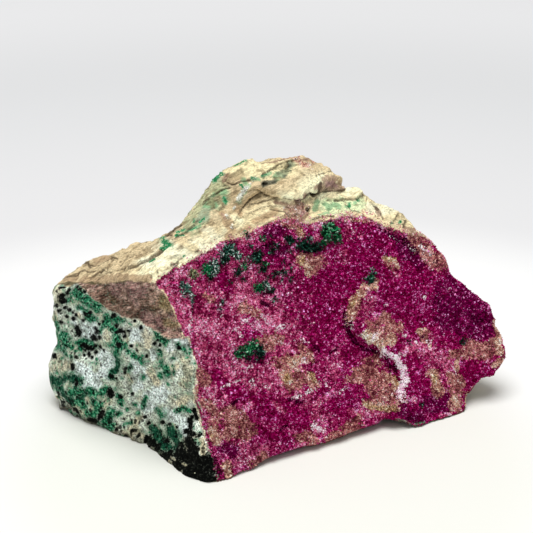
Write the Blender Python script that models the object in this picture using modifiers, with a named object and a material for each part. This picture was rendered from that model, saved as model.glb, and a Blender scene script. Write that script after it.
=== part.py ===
"""Cobaltoan dolomite on its matrix: one broken piece of rock, built as one closed solid.

The tables are in millimetres and the mesh is in metres. +Z is up, the rock stands on Z = 0, and -Y is its
front. The flat crystal-covered face looks front right, the speckled break looks front left, the cream summit
rises behind both, and the back is rough matrix.
"""

import math

import bmesh
import bpy
from mathutils import Vector, noise

MM = 0.001
NAME = "dolomite_rock"

# Driving sizes of the mesh.
FUSE_VOXEL = 1.1
CLEAN_VOXEL = 0.95
TRIANGLES = 9400
SOLE_DEPTH = 1.2  # how far the blocks reach below the standing plane, where the rock is cut flat

# The breaks meet at these corners. They are shared by neighbouring blocks.
FRONT_FOOT = (-13.5, -37.6, -SOLE_DEPTH)
LEFT_FOOT = (-60.2, 5.0, -SOLE_DEPTH)
RIGHT_FOOT = (51.4, -1.4, -SOLE_DEPTH)
FACE_TOP_LEFT = (-30.6, -21.8, 47.9)
FACE_SHOULDER = (-15.5, -10.3, 53.4)
FACE_TOP = (3.2, 1.8, 56.3)
FACE_TOP_RIGHT = (23.4, 11.6, 53.6)

# Each block is the convex hull of its corners, and the rock is the blocks fused.
BLOCKS = {
    "left_shoulder": [
        FRONT_FOOT,
        LEFT_FOOT,
        FACE_TOP_LEFT,
        (-60.4, 3.2, -SOLE_DEPTH),
        (-56.4, -1.8, -SOLE_DEPTH),
        (-52.3, -6.2, -SOLE_DEPTH),
        (-45.2, -12.6, -SOLE_DEPTH),
        (-40.9, -16.1, -SOLE_DEPTH),
        (-63.4, 7.6, 9.3),
        (-60.4, 5.1, 35.2),
        (-54.2, -0.5, 37.8),
        (-13.0, -10.5, 49.5),
        (-59.2, 11.0, 34.2),
        (-56.0, 15.0, 36.0),
        (-48.7, 13.0, 41.1),
        (-39.8, 7.0, 46.4),
        (-31.0, 1.5, 51.6),
        (-27.4, 1.0, 54.3),
        (-56.0, 21.0, -SOLE_DEPTH),
        (-55.0, 20.0, 23.0),
        (-30.0, 32.0, -SOLE_DEPTH),
        (-28.0, 26.0, 33.0),
        (5.0, -10.0, -SOLE_DEPTH),
        (5.0, 20.0, -SOLE_DEPTH),
        (0.0, 5.0, 45.0),
    ],
    "front_toe": [
        (-21.5, -36.4, -SOLE_DEPTH),
        (-16.6, -38.4, -SOLE_DEPTH),
        (-11.5, -36.6, -SOLE_DEPTH),
        (-29.5, -27.4, -SOLE_DEPTH),
        (-35.0, -20.5, -SOLE_DEPTH),
        (-17.5, -34.5, 10.0),
        (-14.0, -33.0, 12.0),
        (-30.0, -22.0, 14.0),
        (-10.0, -20.0, 0.0),
    ],
    "summit": [
        FRONT_FOOT,
        FACE_TOP_LEFT,
        FACE_SHOULDER,
        FACE_TOP,
        FACE_TOP_RIGHT,
        (5.0, -26.0, -SOLE_DEPTH),
        (20.0, -18.0, -SOLE_DEPTH),
        (-27.4, 1.0, 54.3),
        (-23.8, 3.0, 57.7),
        (-22.2, 3.0, 60.9),
        (-20.1, 4.0, 63.2),
        (-18.2, 5.0, 66.6),
        (-14.0, 8.0, 67.4),
        (-4.7, 14.0, 66.6),
        (4.7, 19.0, 65.0),
        (13.9, 22.0, 60.0),
        (18.4, 23.0, 57.2),
        (-15.0, 25.0, 48.0),
        (6.0, 32.0, 47.0),
        (-18.0, 35.0, -SOLE_DEPTH),
        (14.0, 39.4, -SOLE_DEPTH),
        (12.0, 36.0, 28.0),
    ],
    "summit_cap": [
        (-18.3, 5.0, 67.0),
        (-14.6, 7.0, 69.2),
        (-9.6, 9.0, 71.2),
        (-7.4, 11.0, 70.8),
        (-4.4, 14.0, 69.6),
        (4.9, 19.0, 68.9),
        (14.5, 22.0, 65.2),
        (17.9, 23.0, 61.9),
        (19.2, 23.0, 60.6),
        (18.4, 20.8, 60.9),
        (13.1, 15.0, 62.8),
        (10.4, 11.0, 62.4),
        (5.4, 7.0, 61.4),
        (0.6, 5.0, 62.0),
        (-4.2, 4.6, 63.6),
        (-10.0, 4.0, 65.4),
        (-8.0, 8.0, 56.0),
        (8.0, 14.0, 56.0),
        (15.0, 21.0, 55.0),
        (0.0, 24.0, 56.0),
    ],
    "right_wing": [
        RIGHT_FOOT,
        FACE_TOP,
        FACE_TOP_RIGHT,
        (5.0, -26.0, -SOLE_DEPTH),
        (31.8, 13.8, 48.7),
        (40.7, 16.9, 45.2),
        (46.8, 16.8, 38.7),
        (53.8, 15.8, 29.5),
        (59.4, 16.1, 24.1),
        (62.6, 14.8, 18.3),
        (63.7, 12.9, 13.6),
        (56.4, 5.3, 7.0),
        (21.0, 23.0, 58.7),
        (23.6, 23.0, 57.0),
        (26.7, 23.0, 54.0),
        (30.1, 22.0, 52.1),
        (35.2, 22.0, 50.4),
        (38.4, 22.0, 46.2),
        (44.3, 21.0, 40.6),
        (30.0, 33.0, 33.0),
        (8.0, 30.0, 49.0),
        (46.0, 25.0, -SOLE_DEPTH),
        (58.0, 20.0, 12.0),
        (20.0, 38.6, -SOLE_DEPTH),
        (0.0, 20.0, -SOLE_DEPTH),
    ],
}

# Swellings (height > 0) and hollows (height < 0): centre, radius, height.
SWELLS = {
    "druse_dome": ((28.5, -8.0, 11.5), 7.5, 1.2),
    "druse_upper_knob": ((8.5, -1.2, 45.3), 5.0, 0.5),
    "druse_right_dip": ((43.0, 7.0, 25.0), 10.0, -0.9),
    "druse_middle_dip": ((8.0, -9.0, 32.0), 12.0, -0.8),
    "druse_low_swell": ((3.0, -24.0, 10.0), 9.0, 0.9),
    "malachite_knob": ((14.0, 4.7, 50.7), 3.2, 1.3),
    "malachite_tuft": ((-6.5, -19.3, 27.2), 3.4, 1.0),
    "malachite_spray": ((-17.0, -13.0, 50.0), 4.0, 0.8),
    "mauve_hollow": ((-40.5, -14.5, 37.5), 10.0, -1.8),
    "mauve_corner": ((-27.5, -24.5, 39.5), 5.0, 1.0),
    "left_low_hollow": ((-46.0, -9.0, 17.0), 11.0, -1.2),
    "left_edge_lump": ((-62.0, 6.5, 12.0), 6.0, 0.8),
    "wing_notch": ((38.5, 21.0, 46.6), 3.5, -1.2),
    "cap_end": ((18.5, 22.0, 61.0), 4.5, 1.5),
    "wing_trim": ((38.0, 19.0, 47.0), 12.0, -0.8),
    "wing_right_trim": ((51.0, 16.5, 33.5), 7.0, -0.9),
    "wing_right_lobe": ((58.5, 15.5, 25.5), 6.0, 0.9),
    "right_notch": ((55.4, 3.6, 4.4), 5.5, -1.8),
    "shoulder_trim": ((-47.0, 9.0, 42.0), 15.0, -1.1),
    "back_hollow": ((-34.0, 26.0, 18.0), 13.0, -3.5),
    "back_bulge": ((22.0, 36.0, 18.0), 11.0, 2.2),
    "back_scoop": ((44.0, 27.0, 22.0), 10.0, -3.0),
    "back_shelf": ((-4.0, 30.0, 44.0), 9.0, -2.4),
}

# Steps along a line: outward direction, rise, reach, corners. The high side is on the left as the line is walked.
STEPS = {
    "druse_plate_edge": (
        (0.435, -0.795, 0.422),
        1.9,
        12.0,
        [
            (27.5, 5.0, 37.0),
            (21.0, 0.9, 37.0),
            (18.6, -1.3, 34.1),
            (18.0, -3.8, 30.2),
            (19.1, -4.6, 27.4),
            (22.4, -3.9, 24.6),
            (26.0, -3.6, 21.0),
            (29.9, -3.2, 17.8),
            (33.4, -3.6, 14.6),
            (33.9, -5.0, 11.8),
            (32.4, -7.4, 8.8),
        ],
    ),
    "summit_slab_edge": (
        (0.2, -0.8, 0.55),
        1.5,
        7.0,
        [(-8.5, 1.5, 61.5), (-4.2, 6.0, 63.0), (1.9, 4.9, 61.1), (6.5, 7.3, 61.1), (9.2, 10.3, 61.2)],
    ),
    "shoulder_edge": (
        (-0.1, -0.3, 0.95),
        1.3,
        8.0,
        [(-15.5, -2.0, 60.0), (-19.1, -2.4, 58.5), (-23.6, -7.0, 56.0), (-29.8, -9.3, 51.6), (-40.0, -9.0, 46.5)],
    ),
    "mauve_lip": (
        (-0.62, -0.76, 0.2),
        1.3,
        6.0,
        [(-52.5, -3.5, 36.5), (-46.0, -8.0, 33.5), (-37.5, -15.5, 34.0), (-29.5, -24.0, 33.5), (-24.0, -28.5, 33.5)],
    ),
}

EDGE_WIDTH = 1.6
BELOW_SHARE = 0.3  # the ground just below a step is hollowed by this share of its rise

# Straight grooves: start, end, half width, depth.
GROOVES = {
    "summit_trough": ((5.4, 15.4, 67.4), (-10.4, -2.0, 60.4), 2.3, 1.9),
    "shoulder_seam": ((-17.0, -2.0, 57.5), (-15.0, -10.0, 53.5), 2.0, 0.8),
    "back_crack": ((2.0, 37.0, 8.0), (-12.0, 30.0, 46.0), 2.4, 2.2),
    "wing_crack": ((33.0, 17.0, 50.5), (36.0, 21.5, 49.8), 1.8, 0.9),
}

# Rough breaks: wavelength and height of each layer of relief.
RELIEF_LAYERS = ((26.0, 2.4), (11.0, 1.5), (5.2, 0.6))
FACE_RELIEF = 0.45  # share of that relief on the crystal face
BREAK_RELIEF = 1.4  # on the speckled break
BACK_RELIEF = 1.5  # and on the back
BEDDING = Vector((0.20, -0.30, 0.93)).normalized()  # across the ledges
LEDGE_STEP = 3.1
LEDGE_RISE = 0.75

# The underside: it arches between the feet, and is cut flat where it reaches the standing plane.
ARCH_ENDS = ((2.0, -32.0), (30.5, -14.0))
ARCH_HALF_WIDTH = 10.0
ARCH_RISE = 5.6
SOLE_WAVE = 16.0
SOLE_RISE = 2.6

FACE_NORMAL = Vector((0.435, -0.795, 0.422)).normalized()
BREAK_NORMAL = Vector((-0.67, -0.74, 0.0)).normalized()

COLOUR = (0.30, 0.12, 0.17, 1.0)


def hull_of(corners):
    """The convex hull of the corners, as a mesh."""
    block = bmesh.new()
    for corner in corners:
        block.verts.new(Vector(corner) * MM)
    made = bmesh.ops.convex_hull(block, input=block.verts)
    inside = [e for e in made["geom_interior"] if isinstance(e, bmesh.types.BMVert)]
    bmesh.ops.delete(block, geom=inside, context="VERTS")
    mesh = bpy.data.meshes.new("block")
    block.to_mesh(mesh)
    block.free()
    return mesh


def joined(meshes, name):
    """One mesh holding all the meshes, which are removed."""
    whole = bmesh.new()
    for mesh in meshes:
        whole.from_mesh(mesh)
        bpy.data.meshes.remove(mesh)
    made = bpy.data.meshes.new(name)
    whole.to_mesh(made)
    whole.free()
    return made


def apply_modifiers(rock):
    """Replaces the rock's mesh by what its modifiers make of it."""
    graph = bpy.context.evaluated_depsgraph_get()
    made = bpy.data.meshes.new_from_object(rock.evaluated_get(graph))
    old = rock.data
    rock.modifiers.clear()
    rock.data = made
    bpy.data.meshes.remove(old)
    made.name = NAME


def remesh(rock, voxel):
    """Fuses whatever overlaps in the rock's mesh into one skin."""
    fuse = rock.modifiers.new("fuse", "REMESH")
    fuse.mode = "VOXEL"
    fuse.voxel_size = voxel * MM
    apply_modifiers(rock)


def smooth_bump(share):
    """1 at share 0, falling smoothly to 0 at share 1."""
    inside = max(0.0, 1.0 - share * share)
    return inside * inside


def distance_to_segment(point, start, end):
    along = end - start
    share = max(0.0, min(1.0, (point - start).dot(along) / along.length_squared))
    return (point - start - along * share).length


def step_height(point, outward, rise, reach, corners):
    """The height a step adds at a point: full just inside its edge, fading over its reach."""
    nearest, side = math.inf, 0.0
    for start, end in zip(corners, corners[1:]):
        start, end = Vector(start), Vector(end)
        away = distance_to_segment(point, start, end)
        if away < nearest:
            nearest = away
            middle = (start + end) / 2
            side = (point - middle).dot(Vector(outward).cross(end - start).normalized())
    if nearest > reach:
        return 0.0
    fade = 1.0 - (nearest / reach) ** 2
    across = math.copysign(min(nearest, abs(side)), side)
    raised = max(0.0, min(1.0, 0.5 + across / EDGE_WIDTH))
    return rise * fade * (raised * (1.0 + BELOW_SHARE) - BELOW_SHARE)


def ledges(point):
    """Bedding planes break the cream top into steps with soft treads and steep risers."""
    height = point.dot(BEDDING) + 1.4 * noise.noise(point / 11.0)
    share = (height / LEDGE_STEP) % 1.0
    return LEDGE_RISE * (share**3 - 0.5)


def relief(point, normal):
    """How far the rock's skin stands out from the fused blocks at a point, along its normal, in millimetres."""
    rough = sum(
        height * noise.noise(point / wave + Vector((7.0, 3.0, wave)))
        for wave, height in RELIEF_LAYERS
    )
    on_face = max(0.0, normal.dot(FACE_NORMAL)) ** 6
    on_break = max(0.0, normal.dot(BREAK_NORMAL)) ** 4
    on_back = max(0.0, normal.y) ** 1.5
    on_top = max(0.0, normal.z - 0.45) * (1.0 - on_face)
    share = 1.0 + (FACE_RELIEF - 1.0) * on_face + (BREAK_RELIEF - 1.0) * on_break
    share += (BACK_RELIEF - 1.0) * on_back
    height = rough * share
    height += ledges(point) * min(1.0, 2.5 * on_top)
    for centre, radius, rise in SWELLS.values():
        height += rise * smooth_bump((point - Vector(centre)).length / radius)
    for outward, rise, reach, corners in STEPS.values():
        height += step_height(point, outward, rise, reach, corners)
    for start, end, half_width, depth in GROOVES.values():
        away = distance_to_segment(point, Vector(start), Vector(end))
        height -= depth * smooth_bump(away / half_width)
    return height


def underside(x, y):
    """The height of the rock's underside at a point of the standing plane, in millimetres."""
    start, end = (Vector((*point, 0.0)) for point in ARCH_ENDS)
    away = distance_to_segment(Vector((x, y, 0.0)), start, end)
    wave = noise.noise(Vector((x, y, 5.0)) / SOLE_WAVE)
    return -SOLE_DEPTH + ARCH_RISE * smooth_bump(away / ARCH_HALF_WIDTH) + SOLE_RISE * max(0.0, wave)


def shape_skin(rock):
    """Moves the fused blocks' skin by the relief, and lifts the underside off the standing plane in places."""
    skin = bmesh.new()
    skin.from_mesh(rock.data)
    skin.normal_update()
    for vertex in skin.verts:
        point = vertex.co / MM
        point += vertex.normal * relief(point, vertex.normal)
        point.z = max(point.z, underside(point.x, point.y))
        vertex.co = point * MM
    skin.to_mesh(rock.data)
    skin.free()


def thin_out(rock, triangles):
    """Collapses the skin's flat parts until it has about this many triangles."""
    rock.data.calc_loop_triangles()
    less = rock.modifiers.new("thin_out", "DECIMATE")
    less.ratio = triangles / len(rock.data.loop_triangles)
    less.use_collapse_triangulate = True
    apply_modifiers(rock)


def cut_sole(rock):
    """Cuts off what reaches below the standing plane, and closes the cut."""
    skin = bmesh.new()
    skin.from_mesh(rock.data)
    everything = skin.verts[:] + skin.edges[:] + skin.faces[:]
    cut = bmesh.ops.bisect_plane(
        skin,
        geom=everything,
        dist=1e-6,
        plane_co=(0.0, 0.0, 0.0),
        plane_no=(0.0, 0.0, 1.0),
        clear_inner=True,
    )
    rim = [e for e in cut["geom_cut"] if isinstance(e, bmesh.types.BMEdge)]
    closing = bmesh.ops.triangle_fill(skin, edges=rim, use_beauty=True)
    bmesh.ops.recalc_face_normals(skin, faces=skin.faces)
    bmesh.ops.triangulate(skin, faces=skin.faces)
    assert closing["geom"], "the rock does not reach its standing plane"
    skin.to_mesh(rock.data)
    skin.free()


def centre(rock):
    """Puts the origin under the middle of the rock's box."""
    places = [vertex.co for vertex in rock.data.vertices]
    for axis in (0, 1):
        low = min(place[axis] for place in places)
        high = max(place[axis] for place in places)
        for place in places:
            place[axis] -= (low + high) / 2


def finish(rock):
    material = bpy.data.materials.new("rock")
    material.use_nodes = True
    shader = material.node_tree.nodes["Principled BSDF"]
    shader.inputs["Base Color"].default_value = COLOUR
    shader.inputs["Roughness"].default_value = 0.6
    rock.data.materials.append(material)


def build_rock():
    blocks = [hull_of(corners) for corners in BLOCKS.values()]
    rock = bpy.data.objects.new(NAME, joined(blocks, NAME))
    collection = bpy.data.collections.new("dolomite")
    bpy.context.scene.collection.children.link(collection)
    collection.objects.link(rock)
    remesh(rock, FUSE_VOXEL)
    shape_skin(rock)
    remesh(rock, CLEAN_VOXEL)
    thin_out(rock, TRIANGLES)
    cut_sole(rock)
    centre(rock)
    finish(rock)


def main():
    for old in list(bpy.data.objects):
        bpy.data.objects.remove(old)
    build_rock()


main()
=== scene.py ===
"""The looks of a cobaltoan dolomite specimen: a broken rock with a druse of magenta crystals on one face.

Lengths are in millimetres until a mesh is made. Places named by (u, v) are pixels of a 533 x 533 frame as the
camera sees it: right and down from its top left corner. Colours are written as they are seen on a screen, 0 to 255.
A noise takes the width of its bumps and then a seed.
"""

import itertools
import math

import bpy
import numpy as np
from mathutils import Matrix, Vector
from mathutils.bvhtree import BVHTree


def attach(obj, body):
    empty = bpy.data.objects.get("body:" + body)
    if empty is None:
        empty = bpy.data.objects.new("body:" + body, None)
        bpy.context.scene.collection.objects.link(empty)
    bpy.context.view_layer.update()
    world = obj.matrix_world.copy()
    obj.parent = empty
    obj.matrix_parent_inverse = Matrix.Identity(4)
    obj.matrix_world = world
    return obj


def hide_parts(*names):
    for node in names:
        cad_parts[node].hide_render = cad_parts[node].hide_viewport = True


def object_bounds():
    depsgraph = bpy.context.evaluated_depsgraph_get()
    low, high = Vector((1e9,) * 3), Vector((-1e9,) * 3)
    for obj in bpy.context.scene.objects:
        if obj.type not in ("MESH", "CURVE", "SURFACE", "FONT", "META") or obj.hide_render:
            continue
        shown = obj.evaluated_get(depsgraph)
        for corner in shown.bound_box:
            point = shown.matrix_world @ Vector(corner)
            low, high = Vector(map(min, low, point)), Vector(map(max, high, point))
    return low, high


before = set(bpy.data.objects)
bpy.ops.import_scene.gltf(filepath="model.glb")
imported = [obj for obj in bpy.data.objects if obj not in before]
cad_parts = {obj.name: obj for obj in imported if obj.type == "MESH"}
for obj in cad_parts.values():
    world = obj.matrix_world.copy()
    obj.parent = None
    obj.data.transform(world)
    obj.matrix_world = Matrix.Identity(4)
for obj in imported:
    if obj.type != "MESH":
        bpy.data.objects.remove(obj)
cad_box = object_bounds()

MM = 0.001
ROOT = "root"
NODE = "dolomite_rock"
SEED = 20


def unit(*direction):
    return np.array(direction) / np.linalg.norm(direction)


def srgb(red, green, blue):
    """A colour as it is seen on a screen, in the linear numbers that shaders take."""
    seen = np.array([red, green, blue]) / 255.0
    return np.where(seen <= 0.04045, seen / 12.92, ((seen + 0.055) / 1.055) ** 2.4)


# ---------------------------------------------------------------- camera and room

FRAME_PX = 533
FOCAL_PX = 1565.0
SENSOR = 36.0
CAMERA_TARGET = np.array([-3.0, 31.0, 31.0])
CAMERA_DISTANCE = 450.0
CAMERA_PITCH = math.radians(22.0)
MM_PER_PX = CAMERA_DISTANCE / FOCAL_PX

BACKWARD = np.array([0.0, -math.cos(CAMERA_PITCH), math.sin(CAMERA_PITCH)])
UPWARD = np.array([0.0, math.sin(CAMERA_PITCH), math.cos(CAMERA_PITCH)])
RIGHTWARD = np.array([1.0, 0.0, 0.0])
CAMERA_PLACE = CAMERA_TARGET + BACKWARD * CAMERA_DISTANCE

# The room is in metres. The floor's tones are its reflectance at distances from its middle.
FLOOR_HALF = 6.0
FLOOR_MIDDLE = (0.0, -0.03, 0.0)
FLOOR_REACH = 0.6
FLOOR_TONES = [
    (0.055, (0.785, 0.79, 0.735)), (0.09, (0.835, 0.835, 0.83)), (0.145, (0.835, 0.835, 0.83)),
    (0.2, (0.708, 0.706, 0.712)), (0.36, (0.695, 0.7, 0.706)), (0.58, (0.85, 0.85, 0.858)),
]
ROOM_LIGHT = 0.40
KEY_PLACE = (-0.05, -0.14, 1.12)
KEY_TARGET = (0.0, 0.0, 0.03)
KEY_SIZE = 0.9
KEY_WATTS = 12.9

# ---------------------------------------------------------------- the rock's own directions and fineness

FACE_NORMAL = unit(0.435, -0.795, 0.422)
BREAK_NORMAL = unit(-0.67, -0.74, 0.0)
BEDDING = unit(0.20, -0.30, 0.93)
BED_RUN = unit(0.86, 0.33, 0.36)
MAUVE_GRAIN = unit(0.72, -0.56, 0.40)

ROCK_VOXEL = 0.42
ROCK_TRIANGLES = 190000
SPECK_CELL = 1.05
BUMP_DEPTH = 0.3

# ---------------------------------------------------------------- where the rock's parts end

# Where the druse ends, walked round its edge. Past the rock's own outline the line runs outside it.
DRUSE_EDGE = [
    (156, 284), (162, 277), (171, 270), (180, 267), (190, 262), (200, 256), (210, 250), (218, 244), (226, 241),
    (240, 238), (250, 234), (258, 229), (265, 225), (272, 222), (280, 220), (287, 219), (299, 221), (310, 224),
    (322, 221), (333, 219), (341, 217), (364, 216), (374, 221), (384, 227), (394, 230), (408, 234), (416, 236),
    (424, 238), (436, 248), (446, 258), (480, 285), (520, 320), (520, 380), (485, 382), (468, 392), (466, 415),
    (440, 440), (340, 460), (250, 500), (222, 500), (214, 465), (211, 454), (208, 443), (203, 429), (199, 416),
    (195, 400), (195, 390), (196.5, 383), (197, 367), (193, 352), (190, 337), (184.6, 335), (180, 325), (176, 314),
    (168, 297),
]
MAUVE_EDGE = [
    (78, 284), (90, 283), (104, 284), (128, 281), (157, 283), (168, 297), (180, 325), (191, 338), (168, 339),
    (152, 328), (135, 319), (122, 316), (112, 311), (104, 308), (92, 298), (84, 290),
]
# How far back the druse reaches in the rock, and the pixel past which it goes over the rim.
DRUSE_BACK = 27.0
DRUSE_RIM_U = 400
# The break lies under its top pixel. Low on the left it takes all that faces the camera.
BREAK_TOP_V = 284
BREAK_ALL_V, BREAK_ALL_U = 330, 225
# The druse's colour goes round its lower edge: up to this height, and back to this depth.
BRIM_TOP, BRIM_BACK = 14.0, 6.0
# The break is pale along the druse, left of the first pixel and between the others.
PALE_RIM_U, PALE_RIM_TOP, PALE_RIM_FOOT = 215, 332, 440
# The druse is pink along its upper edge, left of one pixel and above the other.
PINK_RIM_U, PINK_RIM_V = 405, 262
# Above this pixel, crystals stray over the druse's edge.
STRAY_V = 300
# The druse gets darker towards its lower left corner: from the first pixel to the second, across and down.
DARKER_U, DARKER_V, DARKER_SHARE = (320.0, 250.0), (385.0, 425.0), 0.16

# ---------------------------------------------------------------- marks

# A mark is a half width and then the corners of its line, all in pixels. One corner makes a round spot.
# On the break: malachite, its darkest patches, black crust, white and tan patches, and pale chips in the black.
BREAK_GREENS = [
    (5.5, (75, 295), (82, 296), (90, 303), (98, 308)), (4.5, (77, 291)), (2.4, (78, 307), (83, 308)),
    (3.2, (87, 311)), (3.4, (89, 316), (93, 319)), (5, (104, 323), (108, 319), (113, 318), (118, 320)),
    (2.6, (112, 313), (115, 318)), (2, (100, 333), (103, 327), (106, 325)), (4, (113, 329), (117, 333), (117, 340)),
    (3.4, (112, 345), (118, 349), (117, 354)), (1.8, (121, 342), (121, 350)), (3, (56, 323), (58, 330)),
    (4.6, (62, 336), (65, 335), (66, 342), (64, 347)), (3.4, (55, 343), (59, 347)), (1.8, (61, 350)),
    (1.6, (66, 355)), (1.8, (71, 357)), (1.6, (76, 351)), (2.6, (72, 347)), (2, (80, 349)), (1.6, (62, 358)),
    (2.6, (77, 343), (84, 341), (90, 342), (93, 347)), (3.4, (82, 347), (88, 346)), (2.6, (129, 370), (131, 366)),
    (2.4, (143, 378)), (2.8, (133, 355), (138, 358), (143, 357)), (3.2, (142, 361)), (2.4, (126, 345)),
    (2.8, (128, 352)), (4.2, (157, 332), (161, 337), (165, 340)), (2.2, (178, 344), (179, 348)), (2.6, (184, 350)),
    (2, (171, 359), (174, 358)), (2.6, (160, 351), (159, 355)), (2.4, (160, 362), (161, 366)),
    (3.6, (166, 368), (167, 374)), (3, (161, 375)), (4, (65, 392), (75, 393), (87, 390), (97, 394)),
    (4, (72, 402), (79, 400), (84, 405)), (3.6, (93, 401), (99, 404), (98, 411)), (3.4, (88, 413), (95, 415)),
    (3.6, (101, 393), (107, 388)), (2.6, (119, 396), (122, 403)), (2.2, (146, 397), (143, 408)),
    (4.4, (112, 412), (106, 419), (110, 425)), (3.4, (119, 414)), (2.4, (136, 404)), (3.6, (160, 411), (163, 416)),
    (2.6, (177, 411), (183, 408), (190, 411)), (2.4, (100, 423), (96, 419)), (1.8, (124, 424), (131, 423)),
    (2, (138, 413)), (2, (128, 409)),
]
BREAK_DARK_GREENS = [
    (5, (52, 379), (60, 382), (66, 378), (74, 378), (80, 382)), (4.4, (60, 388), (64, 396), (70, 400)),
    (3.6, (117, 360), (117, 367), (113, 372), (111, 378)), (6, (153, 429), (158, 438), (166, 445)),
    (6, (172, 430), (176, 440), (175, 448)), (3, (86, 393), (80, 397)),
]
BREAK_BLACKS = [
    (1, (60, 288), (65, 286)), (1.6, (69, 290)), (1.9, (67, 293)), (2.5, (62, 296)), (1.7, (52, 304)),
    (1.5, (58, 305)), (2.4, (63.5, 301)), (1.7, (61, 310)), (1.5, (65, 307.5)), (1.5, (70, 310)), (1.3, (73.5, 312)),
    (1.5, (68, 316)), (1.9, (74, 318.5)), (1.5, (77, 314.5)), (1.7, (86, 314)), (1.5, (90, 312.5)), (1.6, (84, 320)),
    (1.8, (77, 287)), (1.5, (81, 289.5)), (1.7, (85, 292)), (3.3, (77, 328), (78, 334)),
    (3, (94, 336.5), (94.6, 338.6)), (2, (99.5, 337.5)), (2, (97.5, 332)), (1.5, (96, 328)), (1.2, (99, 324)),
    (1.4, (102.5, 321.5)), (2.6, (114, 315)), (1.9, (117, 326)), (2.3, (121, 331)), (2.0, (124, 336)),
    (1.4, (118, 333)), (1.5, (124.5, 332)), (1.2, (129, 331)), (2.2, (119, 345)), (1.4, (95, 346)), (1.8, (100, 347)),
    (1.3, (104, 350)), (2.4, (84, 345.5), (91, 348.5)), (2.0, (95, 352)), (1.5, (85, 350)), (1.9, (88.5, 354)),
    (1.4, (91.5, 357.5)), (1.2, (84, 355)), (1.8, (76.5, 357)), (1.6, (71.5, 365), (71.5, 369)), (3, (54, 356)),
    (1.6, (62, 322)), (1.4, (130, 368)), (1.4, (125, 369)), (1.4, (124, 373)), (1.4, (131, 379)), (1.2, (117, 378)),
    (2, (112, 376)), (1.6, (133, 394)), (3.6, (110, 391), (111, 395)), (1.6, (147, 356)), (1.4, (135, 321)),
    (1.9, (142, 327)), (1.6, (137, 350)), (1.4, (131, 346)), (1.8, (155, 343)), (1.5, (160, 345)), (1.1, (158, 340)),
    (1.8, (178.6, 348)), (1.6, (191, 417)), (2.3, (190, 428)), (2.2, (77, 383)), (1.8, (149, 423)), (1.5, (156, 425)),
    (1.9, (163, 422)), (1.6, (170, 424)), (1.5, (177, 427)), (12, (196, 456), (208, 464)),
    (8.5, (180, 454), (190, 458)), (10, (190, 470), (206, 477)), (3.4, (163, 457), (168, 462)),
    (5.5, (189, 440), (195, 449)), (3.4, (187, 431), (193, 434)), (2.2, (189, 420), (191, 428)),
    (2, (194, 410), (197, 418)), (4.4, (172, 462), (181, 470)), (3.6, (160, 447), (170, 452)),
    (2.6, (148, 438), (156, 444)), (2.4, (166, 441)), (4, (182, 446)), (5, (213, 471)),
    (5, (168, 454), (184, 468), (198, 477)), (4, (186, 476), (204, 481), (220, 479)),
    (2, (161, 464), (175, 474), (190, 482)), (3, (100, 417), (103, 412)), (2.4, (91, 419), (96, 421)),
    (2, (75, 409), (78, 412)), (1.8, (121, 396)), (1.6, (64, 403), (70, 405)), (2.6, (200, 436), (206, 446)),
    (1.4, (140, 436)), (1.4, (146, 439)), (1.6, (133, 430)), (1.4, (151, 447)), (1.5, (127, 434)), (1.5, (118, 428)),
    (1.6, (145, 417)), (1.4, (57, 393)),
]
BREAK_WHITES = [
    (7, (86, 326), (96, 330)), (6, (88, 337), (84, 330)), (8, (77, 368), (84, 372), (92, 378)),
    (6, (96, 384), (88, 386)), (7, (104, 356), (110, 362), (106, 372)), (8, (135, 336), (142, 334)),
    (6, (172, 345), (184, 343)), (9, (150, 396), (162, 394)), (6, (146, 408), (154, 404)),
    (8, (136, 366), (140, 376)), (6, (137, 386)), (7, (168, 414), (178, 418)), (6, (184, 424), (184, 432)),
    (3, (78, 305), (83, 312)), (4, (74, 323)), (3.4, (152, 350), (154, 357)),
]
BREAK_TANS = [
    (7, (56, 366), (66, 366)), (7, (58, 362)), (6, (186, 398), (182, 404)), (6, (186, 362), (188, 372), (186, 384)),
    (4, (107, 332), (108, 342)), (5, (146, 335), (150, 345)), (3, (86, 401), (92, 405), (98, 409)), (3.4, (84, 412)),
    (3.6, (69, 385), (72, 386)), (5, (172, 374), (176, 366)), (3.4, (132, 424), (140, 418)),
    (3.6, (57, 290), (62, 292)), (3, (57, 312), (57, 320)), (3, (105, 407), (110, 401)),
    (4, (150, 440), (140, 432), (128, 428)), (3, (56, 398)), (3, (73, 300), (78, 303)), (3, (80, 315)),
    (4, (152, 372), (158, 382)),
]
BREAK_CHIPS = [
    (3.6, (202, 441), (204, 447), (203, 453)), (1.1, (172, 460), (175, 461.5)), (1.0, (184, 464), (187, 465.5)),
    (1.2, (178, 469)), (1.0, (184, 471)), (0.8, (196, 473)), (3.0, (166, 448)), (1.0, (172, 457), (178, 460)),
    (1.2, (170, 462)),
]
# Black marks narrower than this are drawn larger.
SMALL_BLACK, SMALL_BLACK_GAIN = 3.0, 1.3
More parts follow.
